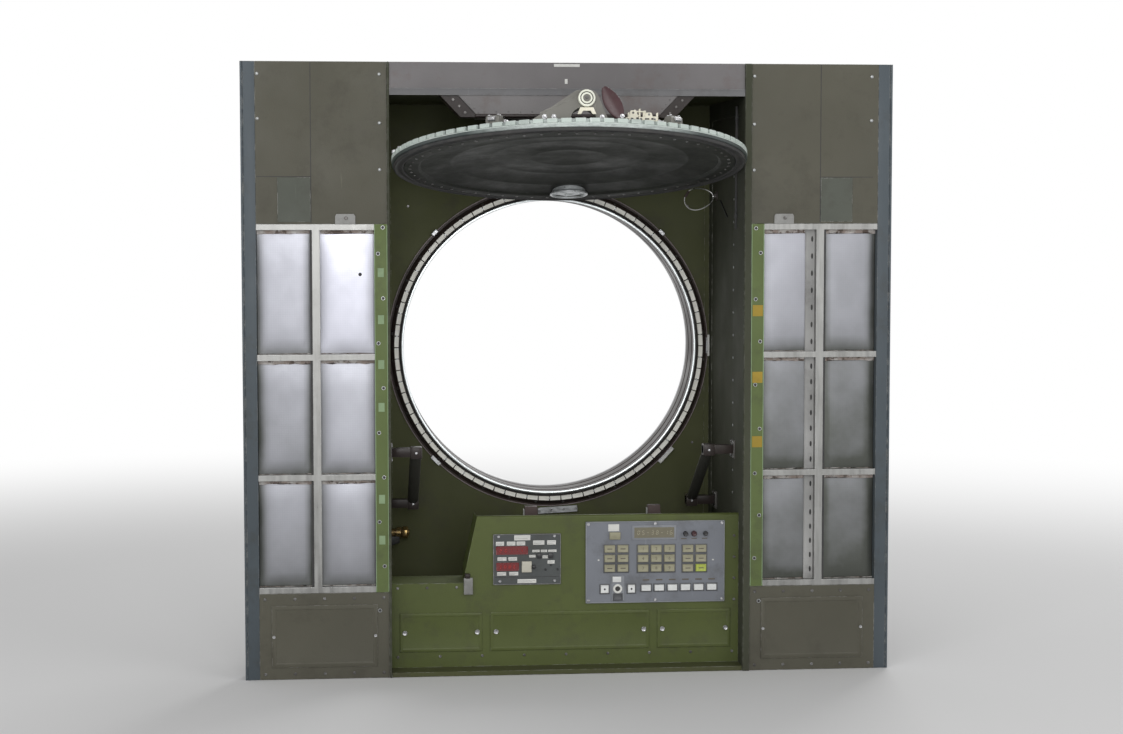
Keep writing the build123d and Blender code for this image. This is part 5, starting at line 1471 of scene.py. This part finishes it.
def make_keypad_keys():
    """Frames of the three groups of keys, the key caps, one of them lit, and their numbers and marks."""
    lift = keypad_lift
    key_groups = ((0.097, 0.079, 2), (0.183, 0.08, 3), (0.299, 0.081, 2))
    column_step, row_step = 0.034, 0.025
    frames = [(left - 0.0018, left + columns * column_step - 0.0032, high - 0.0012, high + 0.0726)
              for left, high, columns in key_groups]
    hand_over(console_plates("key_frames", frames, lift, 0.0012, 0.0008), "knob_black", finish="key_shadow")
    caps, lit = [], None
    for left, high, columns in key_groups:
        for column in range(columns):
            for row in range(3):
                x, z = left + column * column_step, console_front_z - high - row * row_step
                cap = block("key_cap", (x, console_y - lift - 0.0062, z - 0.02), (x + 0.029, console_y - lift, z))
                pick_faces(cap)
                bpy.ops.transform.resize(value=(0.88, 1, 0.86))
                stepped(cap, 0.0022, (0, 0.0007, 0))
                round_off(cap, 0.0007)
                if (left, column, row) == (0.299, 1, 2):
                    lit = cap
                else:
                    caps.append(cap)
    hand_over(joined("key_caps", caps), "key_beige", stands_for=("keypad_keys",))
    lit.name = "lit_key_cap"
    hand_over(lit, "key_beige", finish="key_lit")
    numbers = []
    for i in range(9):
        deselect()
        bpy.ops.object.text_add(rotation=(math.pi / 2, 0, 0))
        text = bpy.context.object.data
        text.body = str(i + 1)
        text.align_x = text.align_y = "CENTER"
        text.size = 0.011
        text.extrude = 0.00015
        text.resolution_u = 3
        bpy.ops.object.convert(target="MESH")
        x, drop = 0.1975 + (i % 3) * column_step, 0.09 + (i // 3) * row_step
        bpy.context.object.location = console_face(x, drop, lift + 0.0056)
        numbers.append(settle(bpy.context.object, "key_number"))
    hand_over(joined("key_numbers", numbers), "knob_black", finish="digit_brown")
    marks = []
    for left, high, columns in (key_groups[0], key_groups[2]):
        for column in range(columns):
            for row in range(3):
                x, drop = left + column * column_step + 0.0145, high + row * row_step + 0.01
                marks.append((x - 0.0065, x + 0.0065, drop - 0.0012, drop + 0.0012))
    hand_over(console_plates("key_marks", marks, lift + 0.0054, 0.0002, 0.0001), "knob_black", finish="digit_brown")


def make_keypad_fittings():
    """Window bezel, label plate, slot switch, knobs, switches, rims and screws of the keypad."""
    lift = keypad_lift
    bezel = console_plate("window_bezel", 0.169, 0.284, 0.0295, 0.0675, lift, 0.0012, 0.0012)
    hand_over(round_off(bezel, 0.0004, 1), "panel_blue", finish="bezel_blue")
    label = console_plate("keypad_label", 0.108, 0.136, 0.026, 0.044, lift, 0.001, 0.0005)
    hand_over(label, "switch_white", finish="tag_white")
    button = console_plate("keypad_button", 0.111, 0.139, 0.0465, 0.065, lift, 0.005, 0.0018)
    hand_over(round_off(button, 0.0007), "key_beige")
    plate = console_plate("slot_switch_plate", 0.116, 0.15, 0.159, 0.224, lift, 0.0014, 0.001)
    hand_over(round_off(plate, 0.0005, 1), "panel_blue", finish="bezel_blue")
    section = [(0.0064, 0.0), (0.0118, 0.0), (0.0118, -0.0032), (0.0108, -0.0042), (0.0074, -0.0042), (0.0064, -0.003)]
    switch_place = Matrix.Translation(console_face(0.132, 0.192, lift + 0.0012))
    collar = ring("slot_switch_collar", section, 32)
    hand_over(moved(collar, switch_place), "switch_white", finish="tag_white")
    hand_over(moved(plug("slot_switch_hole", 0.0066, 0.0012, 24), switch_place), "seal_black")
    square = console_plate("slot_switch_square", 0.119, 0.141, 0.161, 0.175, lift + 0.0014, 0.0028, 0.0016)
    hand_over(round_off(square, 0.0006), "switch_white")
    lower = console_plate("slot_switch_frame", 0.12, 0.145, 0.204, 0.223, lift + 0.0014, 0.0022, 0.002)
    stepped(lower, 0.0012, (0, 0.0022, 0))
    hand_over(round_off(lower, 0.0004, 1), "knob_black", finish="key_shadow")
    caps = []
    for x, radius in ((0.307, 0.0062), (0.329, 0.007), (0.359, 0.0062)):
        knob = plug("knob", radius, 0.0105, 20)
        pick_faces(knob)
        pull_out((0, -0.0022, 0))
        bpy.ops.transform.resize(value=(0.82, 1, 0.82))
        bpy.ops.mesh.inset(thickness=radius * 0.25)
        bpy.ops.transform.translate(value=(0, 0.001, 0))
        knob = round_off(close_up(knob), 0.0005, 1)
        caps.append(moved(knob, Matrix.Translation(console_face(x, 0.052, lift))))
    red = caps.pop(1)
    red.name = "red_knob"
    hand_over(red, "lever_maroon")
    hand_over(joined("black_knobs", caps), "knob_black", stands_for=("keypad_knobs",))
    switches = [(0.088, 0.109, 0.182, 0.203), (0.158, 0.177, 0.182, 0.203)]
    switches += [(0.193 + 0.034 * i, 0.218 + 0.034 * i, 0.183, 0.199) for i in range(6)]
    wells = [(left - 0.0028, right + 0.0028, high - 0.0028, low + 0.0028) for left, right, high, low in switches]
    hand_over(console_plates("switch_wells", wells, lift, 0.0012, 0.0008), "knob_black", finish="key_shadow")
    dots = []
    for left, right, high, low in switches[:2]:
        middle = console_face((left + right) / 2, (high + low) / 2, lift + 0.006)
        dots.append(moved(rivet_head(0.0026, 0.0006), Matrix.Translation(middle)))
    hand_over(joined("switch_dots", dots), "knob_black")
    specks = [(x - 0.0022, x + 0.0022, drop - 0.0016, drop + 0.0016) for x, drop in ((0.083, 0.118), (0.379, 0.121))]
    hand_over(console_plates("white_specks", specks, lift, 0.0005, 0.0003), "switch_white", finish="tag_white")
    labels = [(left + 0.004, right - 0.004, 0.169, 0.1725) for left, right, high, low in switches[2:]]
    labels += [(x - 0.007, x + 0.007, 0.064, 0.0665) for x in (0.303, 0.33, 0.357)]
    hand_over(console_plates("keypad_marks", labels, lift, 0.0004, 0.0002), "knob_black", finish="digit_brown")
    places = [facing(console_face(x, drop, lift), roll=x * 60)
              for x in (0.057, 0.2295, 0.402) for drop in (0.0255, 0.2225)]
    hand_over(set_out("keypad_screws", slotted_screw(0.004, 0.0022), places), "steel")
    rims = ((0.05, 0.409, 0.019, 0.0212), (0.05, 0.409, 0.2268, 0.229), (0.05, 0.0522, 0.019, 0.229),
            (0.4068, 0.409, 0.019, 0.229))
    hand_over(console_plates("keypad_rims", rims, lift, 0.0012, 0.0005), "panel_blue", finish="bezel_blue")


def make_console_details():
    """Screws of the console's housing, its lower doors with catches, and the clips on its top and left side."""
    places = []
    for drop in (0.06, 0.115, 0.17, 0.225):
        places.append(facing(console_face(0.4345, drop), roll=drop * 90))
    for x in (-0.43, -0.355, -0.28):
        places.append(facing(console_face(x, 0.183), roll=x * 90))
    for x in (-0.43 + 0.1075 * i for i in range(9)):
        places.append(facing(console_face(x, 0.36), roll=x * 90))
    hand_over(set_out("console_screws", slotted_screw(0.0036, 0.002), places), "console_green", finish="dark_steel")
    doors = []
    for left, right in ((-0.425, -0.215), (-0.195, 0.215), (0.235, 0.425)):
        door = console_plate("console_door", left, right, 0.248, 0.348, 0.0, 0.002, 0.002)
        pick_faces(door)
        bpy.ops.mesh.inset(thickness=0.006)
        bpy.ops.mesh.inset(thickness=0.0014)
        bpy.ops.transform.translate(value=(0, 0.0012, 0))
        doors.append(round_off(close_up(door), 0.0008))
    hand_over(joined("console_doors", doors), "console_green")
    catch = stepped(plug("door_catch", 0.006, 0.0024, 24), 0.0016, (0, 0.001, 0))
    places = [facing(console_face(x, 0.298, 0.003)) for x in (-0.412, -0.228, -0.18, 0.2, 0.248, 0.412)]
    hand_over(set_out("door_catches", round_off(catch, 0.0004, 1), places), "steel")
    low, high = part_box("console_clips")
    pads, edges = [], []
    for middle in (-0.084, 0.236):
        pad = block("clip_pad", (middle - 0.017, low.y, low.z), (middle + 0.018, high.y, low.z + 0.0265))
        narrowed(pad, (0.92, 0.8, 1), (0, 0, 1))
        pads.append(round_off(pad, 0.0014))
        edges.append(block("clip_edge", (middle - 0.02, low.y - 0.001, low.z),
                           (middle - 0.0172, low.y + 0.012, low.z + 0.02)))
    hand_over(joined("clip_pads", pads), "knob_black", stands_for=("console_clips",), finish="pad_mauve")
    hand_over(joined("clip_edges", edges), "steel", finish="tab_grey")
    clip = console_plate("side_clip", -0.262, -0.239, 0.158, 0.201, 0.0, 0.008, 0.002)
    hand_over(round_off(clip, 0.0012), "khaki_grey", finish="tab_grey")
    top = console_plate("side_clip_top", -0.26, -0.246, 0.147, 0.16, 0.0, 0.0095, 0.003)
    hand_over(round_off(top, 0.002, 3), "rail_dark")


# Handrails
def make_handrail(side):
    """Flat oval bar between two brackets, each a foot plate, a ridged arm and a block that takes the bar's end."""
    name = side_names[side]
    x = side * (niche_half - 0.0665)
    start = Vector((x, front_y + 0.14, -0.245))
    end = Vector((x, wall_y - 0.122, -0.414))
    run = end - start
    bar = plug(name + "_grip_bar", 0.5, run.length - 0.01, 28)
    for corner in bar.data.vertices:
        corner.co.x *= 0.028
        corner.co.z *= 0.0145
    for part in (0.12, 0.88):
        pick_faces(bar, ())
        bpy.ops.mesh.bisect(plane_co=(0, -(run.length - 0.01) * part, 0), plane_no=(0, 1, 0))
    pick_faces(bar, lambda middle, normal: abs(normal.y) < 0.5 and 0.15 < -middle.y / run.length < 0.85)
    bpy.ops.transform.resize(value=(1.06, 1, 1.12))
    round_off(close_up(bar), 0.0012)
    hand_over(moved(bar, facing(start + run.normalized() * 0.005, run)), "rail_green", stands_for=(name + "_handrail",))
    brackets, plates, places = [], [], []
    near, far = side * (niche_half - 0.082), side * (niche_half - 0.004)
    plate_x, cheek_x, head_x = (side * (niche_half + off) for off in (-0.0045, 0.002, -0.052))
    for point in (start, end):
        foot = block("rail_foot", (plate_x, point.y - 0.023, point.z - 0.023),
                     (cheek_x, point.y + 0.023, point.z + 0.023))
        plates.append(round_off(stepped(foot, 0.004, (side * 0.0008, 0, 0), (-side, 0, 0)), 0.0008))
        arm = block("rail_arm", (near, point.y - 0.0125, point.z - 0.011), (far, point.y + 0.0125, point.z + 0.011))
        for lengthways in (0.3, 0.44, 0.58, 0.72):
            pick_faces(arm, ())
            bpy.ops.mesh.bisect(plane_co=(near + (far - near) * lengthways, 0, 0), plane_no=(1, 0, 0))
        for lengthways in (0.37, 0.65):
            ridge = near + (far - near) * lengthways
            pick_faces(arm, lambda middle, normal: abs(normal.x) < 0.5 and abs(middle.x - ridge) < 0.004)
            bpy.ops.transform.resize(value=(1, 1.08, 1.06))
        brackets.append(round_off(arm, 0.0012))
        head = block("rail_head", (near, point.y - 0.0165, point.z - 0.016),
                     (head_x, point.y + 0.0165, point.z + 0.014))
        stepped(head, 0.003, (0, -0.0002, 0), lambda middle, normal: abs(normal.x) > 0.9)
        brackets.append(round_off(head, 0.0022))
        places += [facing((plate_x, point.y + y, point.z + z), (-side, 0, 0), y * 300)
                   for y in (-0.018, 0.018) for z in (-0.018, 0.018)]
        places.append(facing((side * (niche_half - 0.067), point.y - 0.0163, point.z - 0.001), roll=0.4))
    hand_over(joined(name + "_rail_arms", brackets), "rail_dark", stands_for=(name + "_rail_brackets",))
    hand_over(joined(name + "_rail_feet", plates), "rail_dark", finish="foot_light")
    hand_over(set_out(name + "_rail_screws", slotted_screw(0.0034, 0.0018), places), "steel")


# Rear of the bulkhead
def make_rear_details():
    """Caps and rivets of the crossbars and uprights, feet and bolts of the webs, bolts and angles of the braces."""
    cross_low, cross_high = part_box("rear_crossbars")
    back_y, flange_y = cross_high.y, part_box("back_wall")[1].y
    reach = niche_half - 0.004
    straps, places = [], []
    for z in (cross_low.z + 0.004, -0.48, 0.48, cross_high.z - 0.004):
        strap = block("bar_cap", (-reach, back_y, z - 0.011), (reach, back_y + 0.0024, z + 0.011))
        straps.append(round_off(strap, 0.0007))
        rows = [(back_y + 0.0024, z)]
        if abs(z) > 0.5:
            foot_z = z - 0.016 if z > 0 else z + 0.016
            foot = block("bar_foot", (-reach, flange_y, min(z, foot_z) - 0.004),
                         (reach, flange_y + 0.0022, max(z, foot_z) + 0.004))
            straps.append(round_off(foot, 0.0006, 1))
            rows.append((flange_y + 0.0022, foot_z))
        places += [facing((-0.42 + 0.84 * i / 20, y, height), (0, 1, 0)) for y, height in rows for i in range(21)]
    hand_over(joined("crossbar_caps", straps), "bare_metal")
    hand_over(set_out("crossbar_rivets", rivet_head(0.0028, 0.0016), places), "bare_metal", finish="dull_silver")
    places = [facing((side * (niche_half - 0.016), back_y, -0.45 + 0.05 * i), (0, 1, 0))
              for side in (-1, 1) for i in range(19)]
    hand_over(set_out("upright_rivets", rivet_head(0.0026, 0.0014), places), "bare_metal", finish="dull_silver")
    foot = block("web_foot", (0.415, flange_y, -0.016), (0.433, flange_y + 0.003, 0.016))
    stepped(foot, 0.002, (0, 0.0006, 0), (0, 1, 0))
    turns = [turned(15 + 30 * i) for i in range(12)]
    hand_over(set_out("web_feet", foot, turns), "bare_metal")
    places = [turn @ facing((0.4245, flange_y + 0.0034, z), (0, 1, 0)) for turn in turns for z in (-0.0105, 0.0105)]
    hand_over(set_out("web_bolts", hex_bolt(0.0034, 0.003), places), "steel")
    bolts, angles = [], []
    for z in (-0.677, -0.133, 0.176, 0.563):
        for cheek_x, post_x in ((cheek_outer, outer_x), (left_cheek_outer, left_outer_x)):
            side = math.copysign(1, cheek_x)
            for y in (frame_back_y + 0.045, frame_back_y + 0.12, frame_back_y + 0.2):
                bolts.append(facing((cheek_x + side * 0.014, y, z + 0.003), (0, 0, 1), y * 40))
            bolts.append(facing((post_x - side * 0.012, front_y + 0.066, z + 0.003), (0, 0, 1), z * 9))
            angle = block("brace_angle", (cheek_x, frame_back_y + 0.03, z - 0.025),
                          (cheek_x + side * 0.0025, frame_back_y + 0.225, z - 0.003))
            angles.append(round_off(angle, 0.0006, 1))
    hand_over(set_out("brace_bolts", hex_bolt(0.0042, 0.0036), bolts), "steel")
    hand_over(joined("brace_angles", angles), "bare_metal")


def make_wall_back_ribs():
    """Pressed stiffening ribs on the back of the wall, and channels and rivets on the cheeks' outer faces."""
    flange_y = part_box("back_wall")[1].y
    ribs = []
    for x in (-0.3, -0.1, 0.1, 0.3):
        for low_z, high_z in ((-0.76, -0.715), (0.612, 0.64)):
            rib = block("wall_rib", (x - 0.08, flange_y, low_z), (x + 0.08, flange_y + 0.006, high_z))
            ribs.append(round_off(narrowed(rib, (0.9, 1, 0.6), (0, 1, 0)), 0.0014))
    hand_over(joined("wall_ribs", ribs), "wall_green")
    for side, x in ((-1, left_cheek_outer), (1, cheek_outer)):
        name = side_names[side]
        channels, places = [], []
        for y in (-0.4, -0.18):
            channel = block("cheek_channel", (x, y - 0.014, floor_z + 0.05),
                            (x + side * 0.018, y + 0.014, top_z - 0.06))
            stepped(channel, 0.005, (-side * 0.004, 0, 0), (side, 0, 0))
            channels.append(round_off(channel, 0.0009))
            for edge in (-0.022, 0.022):
                places += [facing((x, y + edge, -0.7 + 1.34 * i / 27), (side, 0, 0)) for i in range(28)]
        hand_over(joined(name + "_cheek_channels", channels), "cheek_green")
        rivets = set_out(name + "_cheek_rivets", rivet_head(0.0024, 0.0014), places)
        hand_over(rivets, "cheek_green", finish="dull_silver")


bpy.context.scene.view_settings.view_transform = "Standard"
set_up_camera()
set_up_lamps()
set_up_world()
lay_floor()
finishes = make_finishes()
finish_parts()
# The hood takes the lighter copy of the hood grey: painted light
nodes["hood"].data.materials[0] = finishes["hood_grey_painted_light"]

make_hatch_frame()
make_seat_pads()
make_frame_screws()
make_rear_flange()
make_cover_pan()
make_cover_seal()
make_cover_screws()
make_cover_rim()
make_gear_case()
make_rib_flanges()
make_rod_fittings()
make_wheel()
make_bracket_fittings()
make_lever()
make_casting_fittings()
make_valve()
make_hinge_fittings()
make_pull_wire()
for side in (-1, 1):
    make_bay_panels(side)
    make_outer_post(side)
    make_strip_fittings(side)
    make_painted_panels(side)
    make_cheek_fittings(side)
    make_handrail(side)
make_rail_tabs()
make_wall_fittings()
make_moulding_lines()
make_pipe_fitting()
make_hood_trim()
make_hood_details()
make_display_panel()
make_digits()
make_keypad_keys()
make_keypad_fittings()
make_console_details()
make_rear_details()
make_wall_back_ribs()
soften(("back_wall", "niche_floor", "niche_ceiling", "top_fascia", "hood", "hood_end_plates", "rear_crossbars"), 0.001)
soften(("rear_uprights", "bay_braces", "frame_webs", "corner_mouldings", "console_body", "display_panel"), 0.001)
soften(("keypad_panel", "keypad_switches", "clamp_plates", "hinge_brackets", "hinge_arms"), 0.0008)
soften(("cover_ribs", "drive_hub", "latch_guides", "wheel_bracket", "linkage"), 0.001)
for side in ("right_", "left_"):
    names = ("cheek", "bay_frame", "upper_panel", "lower_panel", "edge_strip")
    soften([side + name for name in names], 0.001)
